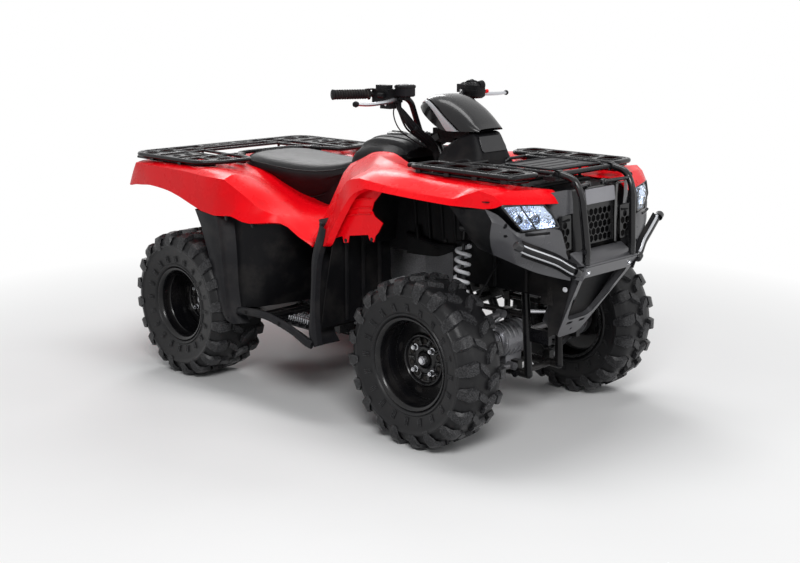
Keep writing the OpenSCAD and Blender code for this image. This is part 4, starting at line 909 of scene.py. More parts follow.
def make_front_rack():
    """Front rack: two side wings of tube and pressed rail, cross bars, and the tray between them."""
    rack, z = Shape(), 0.949
    wing = [(0.4615, 0.215, z), (0.4615, 0.345, z), (0.9155, 0.345, z), (0.9335, 0.215, z)]
    rack.tube(loop_path(wing, 0.035), 0.009, 12, closed=True)
    lower = [(x, y, 0.931) for x, y in mm(((480, 232), (480, 335), (900, 335), (915, 232)))]
    rack.tube(loop_path(lower, 0.03), 0.006, 10, closed=True)
    for x in (0.5, 0.6335, 0.76, 0.885):
        rack.block((x - 0.011, 0.334, 0.928), (x + 0.011, 0.3465, 0.95))
    gaps = mm([(486.5, 556.5), (590, 674), (710, 798), (832, 898)])
    holes = [window((a, 0.243), (b, 0.318), 0.016) for a, b in gaps]
    edge = outline(mm([(470, 222), (470, 338), (911, 338), (927, 222)]), 0.03)
    plate(rack, edge, holes, level(0.9525), 0.0035)
    for (a, b), hole in zip(gaps, holes):
        rack.tube([(u, v, 0.957) for u, v in hole], 0.0028, 6, closed=True)
    for x in (0.5735, 0.692, 0.815):
        rack.bolt((x, 0.33, 0.9565), (0, 0, 1), 0.0045, 0.003, 2)
        rack.bolt((x, 0.232, 0.9565), (0, 0, 1), 0.0045, 0.003, 2)
    rack.tube(bent_path([(0.5735, 0.34, z), (0.5735, 0.15, z), (0.9635, 0.15, z)], 0.03), 0.008, 12)
    rack.tube([(0.4615, 0.3, z), (0.418, 0.306, 0.945)], 0.0085, 12)
    rack.tube([(0.5735, 0.152, z), (0.5735, 0.06, z), (0.56, 0.04, 0.93)], 0.006, 10)
    for x in (0.5735, 0.8135):
        rack.tube([(x, 0.172, 0.897), (x, 0.172, z)], 0.006, 10)
        rack.turned(mm([(0, 14), (3, 14), (4, 10)]), (x, 0.172, 0.8965), "z", 16)
    rack.block((0.925, 0.162, 0.93), (0.975, 0.186, 0.9435))
    rack.bolt((0.95, 0.174, 0.9435), (0, 0, 1), 0.006, 0.004, 2)
    rack.turned(mm([(-13, 12.5), (-12, 14.5), (12, 14.5), (13, 12.5)]), (0.9635, 0.15, z), "y", 18)
    rack.both_sides()
    for x in (0.6935, 0.8135):
        rack.tube([(x, -0.34, z), (x, 0.34, z)], 0.007, 12)
    rack.tube([(0.9635, -0.172, z), (0.9635, 0.172, z)], 0.009, 14)
    tray = [window((0.76 + k * 0.044, -0.1), (0.772 + k * 0.044, 0.1), 0.005) for k in range(4)]
    edge = outline(mm([(713.5, -138), (933.5, -138), (933.5, 138), (713.5, 138)]), 0.022)
    plate(rack, edge, [], level(0.956), 0.003, 1)
    rack.tube([(u, v, 0.9595) for u, v in edge], 0.0042, 8, 1, closed=True)
    for hole in tray:
        plate(rack, hole, [], level(0.9588), 0.0016, 1)
    return rack.piece("front_rack_frame", "chassis", "black_steel", ["paint", "flare", "gloss"],
                      sharp=35, round_edges=0.0008, nodes=("front_rack",))


def make_rear_rack():
    """Rear rack: an outer loop, cross bars, and pressed side plates with flanged round holes."""
    rack, z = Shape(), 0.876
    half = mm([(-1076, 430), (-1030, 480), (-603.5, 480), (-545.5, 380), (-545.5, 250), (-699.5, 200), (-761.5, 140)])
    corners = [(x, y, z) for x, y in half] + [(x, -y, z) for x, y in reversed(half)]
    rack.tube(loop_path(corners, 0.035), 0.009, 12, closed=True)
    side = Shape()
    edge = outline(mm([(-1068, 296), (-1068, 428), (-1026, 472), (-608, 472), (-554, 377), (-554, 296)]), 0.02)
    rounds = mm([(-1004, 350, 34), (-1000, 428, 26), (-833.5, 360, 14), (-833.5, 420, 14), (-605, 345, 28)])
    slots = [window((-0.916, 0.318), (-0.882, 0.455), 0.016), window((-0.785, 0.318), (-0.748, 0.455), 0.016),
             window((-0.715, 0.318), (-0.655, 0.372), 0.02), window((-0.715, 0.396), (-0.632, 0.452), 0.02)]
    plate(side, edge, [circle(*r) for r in rounds] + slots, level(0.877), 0.003)
    for u, v, r in rounds:
        side.tube([(a, b, 0.8805) for a, b in circle(u, v, r + 0.001)], 0.0032, 6, closed=True)
    for hole in slots:
        side.tube([(a, b, 0.8805) for a, b in hole], 0.0026, 6, closed=True)
    for x in (-1.05, -0.93, -0.7335, -0.58):
        if -1.0 < x < -0.6:
            side.block((x - 0.01, 0.466, 0.858), (x + 0.01, 0.4805, 0.877))
        side.bolt((x, 0.306, 0.88), (0, 0, 1), 0.0045, 0.003, 1)
    side.tube([(-1.076, 0.3, z), (-0.5455, 0.3, z)], 0.0075, 12)
    side.tube(mm([(-1060, 462, 861), (-640, 462, 861), (-590, 400, 863)]), 0.0055, 10)
    side.tube([(-0.7335, 0.19, z), (-0.7335, 0.48, z)], 0.006, 12)
    side.tube(bent_path([(-1.076, 0.205, z), (-0.93, 0.205, z), (-0.7335, 0.222, z), (-0.64, 0.222, z)], 0.03), 0.0065,
        12)
    for x in (-0.93, -0.7335):
        side.tube([(x, 0.216, 0.8435), (x, 0.216, z)], 0.006, 12)
        side.turned(mm([(0, 13), (3, 13), (4, 10)]), (x, 0.216, 0.8432), "z", 16)
    side.block((-0.722, 0.176, 0.85), (-0.676, 0.204, 0.884))
    side.block((-0.7, 0.204, 0.846), (-0.64, 0.222, 0.868))
    side.both_sides()
    rack.add(side.points, side.faces)
    rack.finish[-len(side.faces):] = side.finish
    rack.tube([(-0.93, -0.48, z), (-0.93, 0.48, z)], 0.006, 12)
    rack.tube([(-1.005, -0.3, z), (-1.005, 0.3, z)], 0.006, 12)
    edge = outline(mm([(-1066, -150), (-1030, -150), (-1030, 150), (-1066, 150)]), 0.012)
    plate(rack, edge, [window((-1.056, y - 0.035), (-1.04, y + 0.035), 0.007) for y in (-0.09, 0.0, 0.09)],
        level(0.879), 0.003)
    return rack.piece("rear_rack_frame", "chassis", "black_steel", ["paint", "gloss"], sharp=35,
                      round_edges=0.0008, nodes=("rear_rack",))


def make_guards():
    """Brush guard tubes, the wedge-shaped lower guard, and the honeycomb with its blank name bar; dark sheets behind
    the guard's opening and behind the honeycomb are painted shade.
    """
    guard = Shape()
    path = bent_path(mm([(972.8, 150, 949), (1028.5, 150, 937), (1057.5, 146, 885), (1075.5, 132, 705), (1075.5, 132,
        656)]), 0.045, 7)
    guard.tube(path, 0.012, 18)
    guard.skin(mm([[(1048, 158, 885), (1062, 156, 880)], [(1064, 146, 720), (1074, 144, 715)], [(1066, 143, 660),
        (1076, 141, 657)]]), 0)
    guard.tube(bent_path(mm([(1045, 146, 918), (1030, 110, 915), (1012, 50, 912), (1004, 46, 905)]), 0.02), 0.006, 10)
    guard.turned(mm([(-5, 6), (-5, 13), (5, 13), (5, 6)]), (1.006, 0.046, 0.908), "x", 18, closed=True)
    for z in (0.7, 0.925):
        guard.bolt((1.076 if z < 0.8 else 1.034, 0.146 if z < 0.8 else 0.163, z), (0, 1, 0), 0.006, 0.004, 1)
    guard.both_sides()
    guard.piece("brush_guard_tubes", "chassis", "black_steel", ["gloss", "flare"], sharp=40, nodes=("brush_guard",))

    low = Shape()
    down, out = Vector((-0.18, 0, -0.29)).normalized(), Vector((0.29, 0, -0.18)).normalized()
    face = lambda u, v, d: tuple(Vector((1.089, u, 0.648)) + down * v - out * d)
    edge = outline(mm([(-152, 0), (152, 0), (147, 60), (70, 325), (52, 345), (-52, 345), (-70, 325), (-147, 60)]),
        0.012)
    gap = outline(mm([(-122, 50), (122, 50), (126, 62), (74, 245), (50, 262), (-50, 262), (-74, 245), (-126, 62)]),
        0.014)
    slots = [window((-0.052, 0.272), (-0.02, 0.284), 0.005), circle(0.0, 0.315, 0.006, 12), window((0.02, 0.272),
        (0.052, 0.284), 0.005)]
    plate(low, edge, [gap, *slots], face, 0.005)
    for a, b in zip(gap, gap[1:] + gap[:1]):
        low.skin([[face(*a, 0.002), face(*b, 0.002)], [face(*a, 0.02), face(*b, 0.02)]], 0)
    rim = [p for p in edge]
    for a, b in zip(rim, rim[1:] + rim[:1]):
        low.skin([[face(*a, 0.002), face(*b, 0.002)], [face(*a, 0.08), face(*b, 0.08)]], 0)
    low.skin([[(1.089, y, 0.65), (1.084, y, 0.6545), (1.058, y, 0.6545), (1.03, y, 0.656), (1.002, y,
        0.66)] for y in np.linspace(-0.15, 0.15, 9)], 0)
    low.skin([[(1.06, s * 0.15, 0.655), (1.0, s * 0.185, 0.657)] for s in (-1, 1)], 0)
    for s in (-1, 1):
        low.skin([[(1.084, s * 0.15, 0.654), (1.048, s * 0.15, 0.655), (1.0, s * 0.15, 0.658)],
                  [(1.06, s * 0.176, 0.65), (1.03, s * 0.182, 0.653), (0.995, s * 0.183, 0.657)]], 0)
        low.skin([[(1.089, s * 0.151, 0.648), (1.062, s * 0.177, 0.646)], [(1.074, s * 0.149, 0.6),
            (1.05, s * 0.166, 0.606)]], 0)
        low.bolt((1.0745, s * 0.12, 0.6245), tuple(out), 0.006, 0.004, 1)
    # black panels behind the guard, seen through its opening: painted shade standing in for the dark space behind it
    for s in (-1, 1):
        low.skin(sheet([[(1.046, s * 0.16, 0.64), (0.99, s * 0.164, 0.64), (0.935, s * 0.166, 0.636)],
                        [(0.985, s * 0.118, 0.5), (0.95, s * 0.13, 0.5), (0.925, s * 0.14, 0.5)],
                        [(0.925, s * 0.078, 0.38), (0.915, s * 0.092, 0.372), (0.905, s * 0.11, 0.366)]], 3, 3), 2)
        low.bolt((1.0, s * 0.146, 0.56), (0.2, s, 0), 0.006, 0.003, 1)
    low.skin(sheet([[(1.03, y, 0.64) for y in (-0.15, 0, 0.15)], [(0.965, y, 0.5) for y in (-0.12, 0, 0.12)],
        [(0.905, y, 0.366) for y in (-0.07, 0, 0.07)]], 3, 3), 2)
    low.piece("lower_guard_wedge", "chassis", "black_steel", ["guard", "zinc", "plastic"], sharp=28,
        round_edges=0.0015, nodes=("lower_guard",))

    comb = Shape()
    cell, pitch = 0.0128, 0.0262
    def cells(y0, y1, z0, z1):
        out, k, z = [], 0, z0 + cell + 0.004
        while z < z1 - cell:
            y = y0 + cell + 0.004 + (pitch / 2 if k % 2 else 0)
            while y < y1 - cell + 0.001:
                out.append(circle(y, z, cell, 6, math.pi / 6))
                y += pitch
            z, k = z + pitch * 0.866, k + 1
        return out
    upright = lambda x, lean: lambda u, v, d: (x + lean * (0.9 - v) + d, u, v)
    plate(comb, window((-0.086, 0.708), (0.086, 0.846), 0.006), cells(-0.086, 0.086, 0.708, 0.846), upright(1.014,
        0.05), 0.004)
    for s in (-1, 1):
        y0, y1 = sorted((s * 0.142, s * 0.206))
        plate(comb, window((y0, 0.7), (y1, 0.818), 0.006), cells(y0, y1, 0.7, 0.818), upright(1.004, 0.05), 0.004)
        pillar = [[(1.018, s * 0.152, 0.902), (1.014, s * 0.176, 0.904), (0.996, s * 0.2, 0.9), (0.972, s * 0.212,
            0.894)],
                  [(1.022, s * 0.148, 0.86), (1.016, s * 0.18, 0.858), (0.994, s * 0.208, 0.852), (0.97, s * 0.222,
            0.846)],
                  [(1.022, s * 0.144, 0.824), (1.014, s * 0.176, 0.82), (0.994, s * 0.212, 0.806), (0.974, s * 0.228,
            0.796)]]
        comb.skin(sheet(pillar, 3, 3), 2)
        comb.skin(sheet([[(1.02, s * 0.1, 0.902), (1.016, s * 0.12, 0.904), (1.01, s * 0.14, 0.902)],
                         [(1.024, s * 0.092, 0.8), (1.02, s * 0.112, 0.8), (1.012, s * 0.132, 0.8)],
                         [(1.03, s * 0.09, 0.7), (1.026, s * 0.11, 0.69), (1.016, s * 0.13, 0.68)]], 3, 3), 0)
        # a dark sheet behind each outer honeycomb: painted shade standing in for the space behind it
        comb.skin(sheet([[(0.99, s * 0.21, 0.8), (1.012, s * 0.2, 0.8), (1.016, s * 0.15, 0.806)],
                         [(1.0, s * 0.215, 0.74), (1.0, s * 0.206, 0.738), (1.0, s * 0.15, 0.74)],
                         [(1.016, s * 0.212, 0.69), (1.02, s * 0.2, 0.68), (1.024, s * 0.15, 0.672)]], 3, 3), 3)
    plate(comb, window((-0.083, 0.846), (0.083, 0.896), 0.006), [], upright(1.019, 0.12), 0.006, 1)
    comb.skin([[(1.022 - 0.003 * k, y, 0.898 + 0.002 * k) for k in range(3)] for y in (-0.15, -0.05, 0.05, 0.15)], 0)
    # dark backing with radiator-like fins behind the middle honeycomb: painted shade standing in for the space behind
    # the grille
    comb.skin(sheet([[(0.998, y, z) for y in (-0.15, 0.0, 0.15)] for z in (0.89, 0.78, 0.665)], 2, 2), 3)
    for k in range(11):
        comb.tube([(0.9995, -0.148, 0.69 + k * 0.018), (0.9995, 0.148, 0.69 + k * 0.018)], 0.0022, 6, 3)
    return comb.piece("honeycomb_grille", "chassis", "black_plastic", ["gloss", "tag", "cowl", "dark"],
                      sharp=30, round_edges=0.0006, nodes=("grille",))


# ---- lamps and front bodywork -------------------------------------------------------------

def make_headlights():
    """Headlights: faceted clear lens, bright bowl with two rings, and a dark bezel."""
    corner = {"ao": (0.936, 0.415, 0.869), "am": (0.963, 0.345, 0.868), "ai": (0.988, 0.262, 0.862),
              "bo": (0.962, 0.39, 0.826), "bm": (0.99, 0.33, 0.824), "bi": (1.014, 0.24, 0.824),
              "co": (0.972, 0.35, 0.784), "cm": (0.998, 0.3, 0.785), "ci": (1.026, 0.226, 0.788)}
    rows = [[Vector(corner[r + c]) for c in "omi"] for r in "abc"]
    lens, bowl, rim = Shape(), Shape(), Shape()
    lens.skin(folded([[tuple(p) for p in row] for row in rows], (1,), 4, 4), 0)
    mid = sum((p for row in rows for p in row), Vector()) / 9
    grid = folded([[tuple(p) for p in row] for row in rows], (1,), 6, 8)
    back = []
    for i, row in enumerate(grid):
        out = []
        for j, p in enumerate(row):
            p = Vector(p)
            e = min(i, len(grid) - 1 - i, j, len(row) - 1 - j)
            deep = 0.006 + 0.03 * min(1.0, e / 3.0) + 0.004 * ((i + j) % 2)
            out.append(tuple(p.lerp(mid, 0.05) + Vector((-deep, -deep * 0.35, 0))))
        back.append(out)
    bowl.skin(back, 0)
    for centre, r in mm((((972, 286, 815), 21), ((950, 345, 818), 17))):
        for k, grow in enumerate((1.0, 0.72, 0.45)):
            bowl.turned([(-0.012, r * grow), (0.004 + 0.003 * k, r * grow), (0.006 + 0.003 * k, r * grow * 0.86),
                (-0.004, r * grow * 0.7)],
                        centre, (0.86, 0.5, 0.02), 24, k % 2)
    edge = [rows[0][0], rows[0][1], rows[0][2], rows[1][2], rows[2][2], rows[2][1], rows[2][0], rows[1][0]]
    rim.tube(loop_path([tuple(p) for p in edge], 0.006, 3), 0.0038, 8, closed=True)
    for a, b in zip(edge, edge[1:] + edge[:1]):
        rim.skin([[tuple(a), tuple(b)], [tuple(a + Vector((-0.085, -0.012, 0.0))),
            tuple(b + Vector((-0.085, -0.012, 0.0)))]], 0)
    rim.skin([[tuple(Vector(p) + Vector((-0.072, -0.02, 0))) for p in row] for row in rows], 0)
    rim.tube([tuple(rows[0][1] + Vector((-0.012, -0.004, -0.002))), tuple(rows[2][1] + Vector((-0.012, -0.004,
        0.002)))], 0.003, 6)
    rim.block((0.8735, 0.19, 0.836), (0.8955, 0.275, 0.842))
    rim.block((0.8735, 0.19, 0.836), (0.8955, 0.202, 0.8915))
    for part in (lens, bowl, rim):
        part.both_sides()
    lens.piece("headlight_lenses", "chassis", "lamp_clear", ["lens"], sharp=20, thick=0.002)
    bowl.piece("headlight_bowls", "chassis", "satin_steel", ["mirror", "zinc"], sharp=18)
    rim.piece("headlight_bezels", "chassis", "black_plastic", ["smooth"], sharp=30, nodes=("headlights",))


def make_cowls():
    """Grey lower cowls with a fold under each lamp, a black rear face and a dark slot as painted shade, and the two
    grooved bumper bars.
    """
    rows = mm([[(752, 455, 853), (770, 448, 830), (785, 424, 786), (796, 396, 740), (805, 372, 712)], [(815, 444, 850),
        (822, 440, 826), (826, 424, 778), (832, 398, 734), (834, 372, 704)], [(884, 432, 856), (912, 430, 818),
        (890, 412, 768), (878, 392, 728), (868, 366, 695)], [(930, 418, 838), (950, 402, 800), (938, 390, 760), (922,
        372, 722), (910, 352, 682)], [(964, 372, 782), (974, 366, 766), (976, 360, 744), (970, 350, 712), (960, 338,
        666)], [(994, 322, 782), (1002, 322, 764), (1004, 318, 730), (1000, 304, 688), (990, 290, 642)],
        [(1018, 262, 786), (1022, 262, 760), (1028, 256, 712), (1028, 244, 664), (1020, 232, 622)], [(1024, 214, 776),
        (1030, 208, 748), (1040, 200, 700), (1048, 192, 650), (1046, 180, 606)]])
    cowl = Shape().skin(folded(rows[2:], (1, 3), 4, 4), 0)
    # the rear face, toward the wheel, is black plastic: painted shade on the grey cowl
    cowl.skin(folded(rows[:3], (1, 3), 4, 4), 1)
    cowl.skin(sheet([[rows[i][4], (rows[i][4][0] - 0.03, rows[i][4][1] - 0.03, rows[i][4][2] - 0.004),
                      (rows[i][4][0] - 0.055, rows[i][4][1] - 0.07, rows[i][4][2] + 0.006)] for i in range(8)], 3, 4),
        1)
    cowl.skin(sheet(mm([[(752, 450, 850), (740, 400, 840)], [(785, 420, 786), (772, 370, 780)], [(805, 370, 712),
        (795, 320, 715)]]), 2, 4), 1)
    cowl.skin(sheet(mm([[(1024, 214, 776), (1000, 206, 782)], [(1040, 200, 700), (1010, 188, 700)], [(1046, 180, 606),
        (1015, 172, 606)]]), 2, 4), 1)
    cowl.skin(sheet(mm([[(960, 374, 784), (940, 340, 784)], [(990, 324, 784), (960, 290, 782)], [(1020, 262, 788),
        (990, 240, 784)]]), 2, 3), 1)
    bar = curve_through(mm([(1004, 412, 748), (1016, 368, 726), (1036, 300, 698), (1050, 250, 676), (1066, 205, 648),
        (1072, 176, 634)]), 5)
    # the dark slot round the bumper bar: painted shade in the recess
    slot = []
    for p in bar[3:]:
        slot.append([(p[0] - 0.016, p[1] - 0.008, p[2] + 0.024), (p[0] - 0.008, p[1] - 0.004, p[2] + 0.016),
                     (p[0] - 0.01, p[1] - 0.004, p[2] - 0.018), (p[0] - 0.022, p[1] - 0.014, p[2] - 0.026)])
    cowl.skin(slot, 2)
    for place in mm(((944, 406.5, 806), (800, 451.5, 842), (940, 395.5, 775))):
        cowl.bolt(place, (0.35, 0.93, 0.1), 0.0065, 0.003, 2)
    cowl.tube(bent_path(mm([(990, 350, 776), (1000, 320, 772), (1020, 270, 774)]), 0.02), 0.0025, 6, 1)
    cowl.both_sides()
    cowl.piece("front_cowl_panels", "chassis", "grey_plastic", ["cowl", "plastic", "dark", "zinc"],
               sharp=22, thick=0.003, round_edges=0.0012, nodes=("front_cowls",))
    rail = Shape()
    for drop in (-0.0095, 0.0, 0.0095):
        rail.tube([(p[0] - 0.25 * abs(drop), p[1], p[2] + drop) for p in bar], 0.0056, 10, 0)
    rail.tube([(p[0] - 0.004, p[1], p[2]) for p in bar], 0.0115, 12, 2)
    for p, q in ((bar[0], bar[1]), (bar[-1], bar[-2])):
        a, d = Vector(p), (Vector(p) - Vector(q)).normalized()
        rail.turned(mm([(-16, 15), (4, 15.6), (8, 13), (9.5, 0)]), a, tuple(d), 20, 1)
    rail.tube(mm([(1050, 196, 640), (1072, 160, 640), (1074, 146, 642)]), 0.009, 12, 2)
    rail.both_sides()
    return rail.piece("bumper_rails", "chassis", "satin_steel", ["satin", "smooth", "paint"], sharp=35,
        nodes=("bumper_bars",))


# ---- steering -----------------------------------------------------------------------------

def make_bars():
    """Handlebar with ribbed grips, the instrument pod with its grey band, and the post below."""
    bar, end = Shape(), [(0.2568, 0.07, 1.0148), (0.2668, 0.145, 1.165), (0.1848, 0.235, 1.18), (0.1178, 0.385, 1.181)]
    bar.tube(bent_path(flip(list(reversed(end))) + end, 0.035, 7), 0.011, 18, 0)
    a, b = Vector(end[2]), Vector(end[3])
    along = (b - a).normalized()
    start = a.lerp(b, 0.18)
    ribs = mm([(0, 11), (0, 20.5), (4, 21), (7, 16.5)])
    for k in range(13):
        d = 0.012 + k * 0.0098
        ribs += [(d, 0.0158), (d + 0.0015, 0.018), (d + 0.006, 0.018), (d + 0.0075, 0.0158)]
    ribs += mm([(137.5, 17), (139, 19), (143, 19), (145, 16), (146, 0)])
    bar.turned(ribs, start, tuple(along), 28, 1)
    for y in (0.052, ):
        bar.block((0.2418, y - 0.014, 0.995), (0.272, y + 0.014, 1.0315), 2)
        bar.bolt((0.248, y, 1.0315), (0, 0, 1), 0.0045, 0.003, 2)
        bar.bolt((0.266, y, 1.0315), (0, 0, 1), 0.0045, 0.003, 2)
    bar.both_sides()
    bar.piece("handlebar_and_grips", "steering", "black_steel", ["paint", "rubber", "cast"], sharp=35,
        nodes=("handlebar",))

    pod = Shape()
    stations = mm([(256, 1146, 80, 1124), (280, 1166, 94, 1108), (310, 1175, 102, 1090), (345, 1176, 106, 1070), (385,
        1168, 106, 1053), (425, 1150, 102, 1050), (460, 1128, 96, 1051), (495, 1100, 87, 1052), (520, 1077, 77, 1053),
        (538, 1062, 66, 1053)])
    def point(station, t, sink=0.0):
        x, top, w, base = station
        t = min(t, 1.0)
        a = t * math.pi / 2
        return (x, (w - sink) * math.sin(a) ** 0.62, base + (top - base - sink) * max(math.cos(a), 0.0) ** 0.62)
    fine = [tuple(p) for p in curve_through([(*s, ) for s in [(x, t, w) for x, t, w, _ in stations]], 3)]
    bases = [p[0] for p in curve_through([(s[3], 0, 0) for s in stations], 3)]
    stations = [(x, t, w, z) for (x, t, w), z in zip(fine, bases)]
    cap, ditch, band, wing = [], [], [], []
    for s in stations:
        c = 0.36 + max(0.0, (s[0] - 0.262)) * 3.1
        cap.append([point(s, c * k / 6, 0.0) for k in range(7)] + [point(s, c + 0.01, 0.01)])
        ditch.append([point(s, c - 0.02, 0.008), point(s, c + 0.08, 0.008)])
        band.append([point(s, c + 0.055, 0.008), point(s, c + 0.06, 0.001), point(s, c + 0.13, -0.001), point(s,
            c + 0.2, 0.0), point(s, c + 0.205, 0.006)])
        wing.append([point(s, c + 0.2 + (0.8 - c) * k / 5, 0.004) for k in range(6)] if c < 0.8 else [point(s, 1.0,
            0.004)] * 6)
    both = lambda rows: [flip(list(reversed(r)))[:-1] + r for r in rows]
    pod.skin(both([[(s[0], 0.0, s[1])] + r[1:] for s, r in zip(stations, cap)]), 0)
    # the ditch between the cap and the band is in the dark finish: painted shade in the groove
    for rows, finish in ((ditch, 1), (band, 2), (wing, 3)):
        pod.skin(rows, finish)
        pod.skin([flip(list(reversed(r))) for r in rows], finish)
    floor = [[(s[0], -s[2] + 0.006, s[3]), (s[0], 0.0, s[3]), (s[0], s[2] - 0.006, s[3])] for s in stations]
    pod.skin(floor, 1)
    first = stations[0]
    pod.skin([[point(first, k / 6, 0.004) for k in range(7)], [(first[0] + 0.006, 0, first[3] + 0.01)] * 7], 1)
    pod.skin([flip([point(first, k / 6, 0.004) for k in reversed(range(7))]), [(first[0] + 0.006, 0,
        first[3] + 0.01)] * 7], 1)
    pod.block((0.4, -0.066, 1.022), (0.49, 0.066, 1.052), 1)
    pod.block((0.29, -0.045, 1.0), (0.4, 0.045, 1.05), 1)
    pod.piece("instrument_pod", "steering", "black_plastic", ["satinblack", "dark", "stripe", "satinblack"],
              sharp=40, nodes=("handlebar_pod",))


def make_controls():
    """Reservoir, throttle, switches, levers, perches and the bundled cables down to the column."""
    c = Shape()
    a, b = Vector((0.1848, 0.235, 1.18)), Vector((0.1178, 0.385, 1.181))
    along = tuple((b - a).normalized())
    # right hand, made on the left and turned over
    c.skin([[(x, y, z) for x, y in window((0.256 - g, 0.1605 - g), (0.312 + g, 0.2155 + g), 0.006)] for g, z in
            mm(((-4, 1172), (0, 1176), (0, 1204), (1.8, 1205), (1.8, 1212), (-3, 1216)))], 1, around=True, ends=True)
    c.block((0.232, 0.176, 1.16), (0.3, 0.204, 1.18), 0)
    for x in (0.264, 0.304):
        c.bolt((x, 0.188, 1.2155), (0, 0, 1), 0.003, 0.0015, 2)
    c.turned(mm([(-22, 0), (-22, 17), (-18, 20), (18, 20), (22, 17), (22, 0)]), (0.205, 0.226, 1.18), along, 18, 0)
    c.block((0.18, 0.206, 1.15), (0.262, 0.256, 1.2), 0)
    c.block((0.192, 0.214, 1.196), (0.246, 0.248, 1.214), 1)
    c.block((0.206, 0.206, 1.128), (0.256, 0.24, 1.152), 0)
    c.turned(mm([(-14, 0), (-14, 10), (14, 10), (14, 0)]), (0.236, 0.262, 1.178), "x", 14, 0)
    c.turned(mm([(-4, 20), (4, 20), (6, 16)]), (0.182, 0.242, 1.18), along, 20, 1)
    c.tube(bent_path(mm([(224, 236, 1186), (196, 262, 1200), (180, 290, 1198)]), 0.01), 0.0055, 8, 0, flat=0.6)
    lever = curve_through(mm([(250, 200, 1166), (262, 240, 1158), (270, 300, 1154), (268, 360, 1152), (262, 412,
        1156)]), 5)
    c.tube(lever, 0.006, 12, 4, radii=[0.011 - 0.0035 * k / len(lever) for k in range(len(lever))], flat=0.8)
    c.turned(mm([(-11, 0), (-8, 9), (0, 11.5), (8, 9), (11, 0)]), (0.262, 0.415, 1.156), "y", 14, 0)
    c.block((0.232, 0.18, 1.15), (0.264, 0.222, 1.17), 0)
    c.tube(mm([(252, 250, 1150), (256, 262, 1144)]), 0.004, 8, 2)
    c.points = flip(c.points)
    c.faces = [tuple(reversed(f)) for f in c.faces]
    # left hand
    c.skin([[(x, y, z) for x, y in window((0.242 - g, 0.176 - g), (0.312 + g, 0.236 + g), 0.014)] for g, z in
            mm(((-8, 1146), (0, 1154), (0, 1168), (2, 1168.5), (2, 1178), (0, 1178.5), (0, 1196), (-8, 1206)))], 0,
        around=True, ends=True)
    c.turned(mm([(-20, 0), (-20, 18), (-16, 21), (16, 21), (20, 18), (20, 0)]), (0.208, 0.222, 1.18), along, 18, 0)
    c.block((0.198, 0.19, 1.166), (0.236, 0.226, 1.198), 1)
    c.turned(mm([(-16, 0), (-14, 20), (8, 24), (12, 18), (14, 0)]), (0.256, 0.206, 1.194), "y", 20, 0)
    c.turned(mm([(-16, 0), (-14, 16), (10, 19), (14, 0)]), (0.298, 0.214, 1.196), "y", 20, 0)
    lever = curve_through(mm([(256, 202, 1168), (268, 240, 1162), (276, 300, 1158), (272, 360, 1156), (262, 412,
        1156)]), 5)
    c.tube(lever, 0.006, 12, 4, radii=[0.011 - 0.0035 * k / len(lever) for k in range(len(lever))], flat=0.8)
    c.turned(mm([(-10, 0), (-7, 8), (0, 10.5), (7, 8), (10, 0)]), (0.262, 0.415, 1.156), "y", 14, 0)
    c.tube(mm([(276, 234, 1168), (284, 276, 1170)]), 0.0075, 10, 3)
    c.block((0.24, 0.192, 1.148), (0.266, 0.232, 1.16), 0)
    # cables
    for s in (-1, 1):
        for k, (r, bow) in enumerate(mm(((5.5, 0), (4.5, 12), (4.5, -12), (3.8, 24), (4, -22)))):
            path = [(0.262 - 0.006 * k, s * (0.192 + 0.006 * k), 1.16), (0.266 + bow * 0.5, s * (0.19 + bow), 1.12),
                (0.288 - bow * 0.4, s * (0.15 + bow), 1.055),
                    (0.306 - bow * 0.6, s * (0.092 + bow * 0.8), 1.008), (0.304 - bow * 0.3, s * (0.046 + bow * 0.4),
                0.965), (0.3, s * (0.038 + 0.2 * bow), 0.93)]
            c.tube(curve_through(path, 6), r, 8, 5)
        c.turned(mm([(-6, 11.5), (-4, 14), (4, 14), (6, 11.5)]), (0.29, s * 0.146, 1.05), (0.3, s * -0.62, -0.7), 12,
            0, closed=True)
    c.tube(curve_through(mm([(256, -200, 1160), (250, -214, 1110), (266, -196, 1050), (290, -130, 1000), (300, -70,
        970), (300, -44, 950)]), 6), 0.0024, 8, 5)
    c.piece("controls_and_cables", "steering", "black_plastic", ["plastic", "flare", "zinc", "red", "satin", "rubber"],
            sharp=30, round_edges=0.0012, nodes=("controls",))


# ---- suspension, drive and rear end -------------------------------------------------------

def shock(shape, low, high, across, coil_r, wire_r, turns, low_at, high_at):
    """A coil-over shock: eyes, body, rod, spring seats and a real coil."""
    low, high = Vector(low), Vector(high)
    axis = (high - low).normalized()
    length = (high - low).length
    u = Vector(across)
    u = (u - axis * u.dot(axis)).normalized()
    v = axis.cross(u)
    for end in (low, high):
        shape.turned(mm([(-13, 6), (-13, 13.5), (13, 13.5), (13, 6)]), end, across, 20, 1, closed=True)
        shape.turned(mm([(-15, 0), (-15, 7), (15, 7), (15, 0)]), end, across, 6, 3)
    body = [(0.01, 0.01), (0.016, 0.018), (length * 0.5, 0.018), (length * 0.52, 0.013), (length * 0.53, 0.0055),
        (length - 0.012, 0.0055)]
    shape.turned(body, low, tuple(axis), 20, 1)
    for at in (low_at - 0.012, high_at + 0.012):
        flip_way = 1 if at < length / 2 else -1
        shape.turned([(-0.006 * flip_way, 0.01), (-0.004 * flip_way, coil_r + 0.003), (0.002 * flip_way,
            coil_r + 0.006), (0.005 * flip_way, coil_r + 0.004), (0.005 * flip_way, 0.01)],
                     low + axis * at, tuple(axis), 24, 2, closed=True)
    steps = int(turns * 20)
    path = [low + axis * (low_at + (high_at - low_at) * k / steps)
            + (u * math.cos(2 * math.pi * turns * k / steps) + v * math.sin(2 * math.pi * turns * k / steps)) * coil_r
            for k in range(steps + 1)]
    shape.tube(path, wire_r, 10, 0)


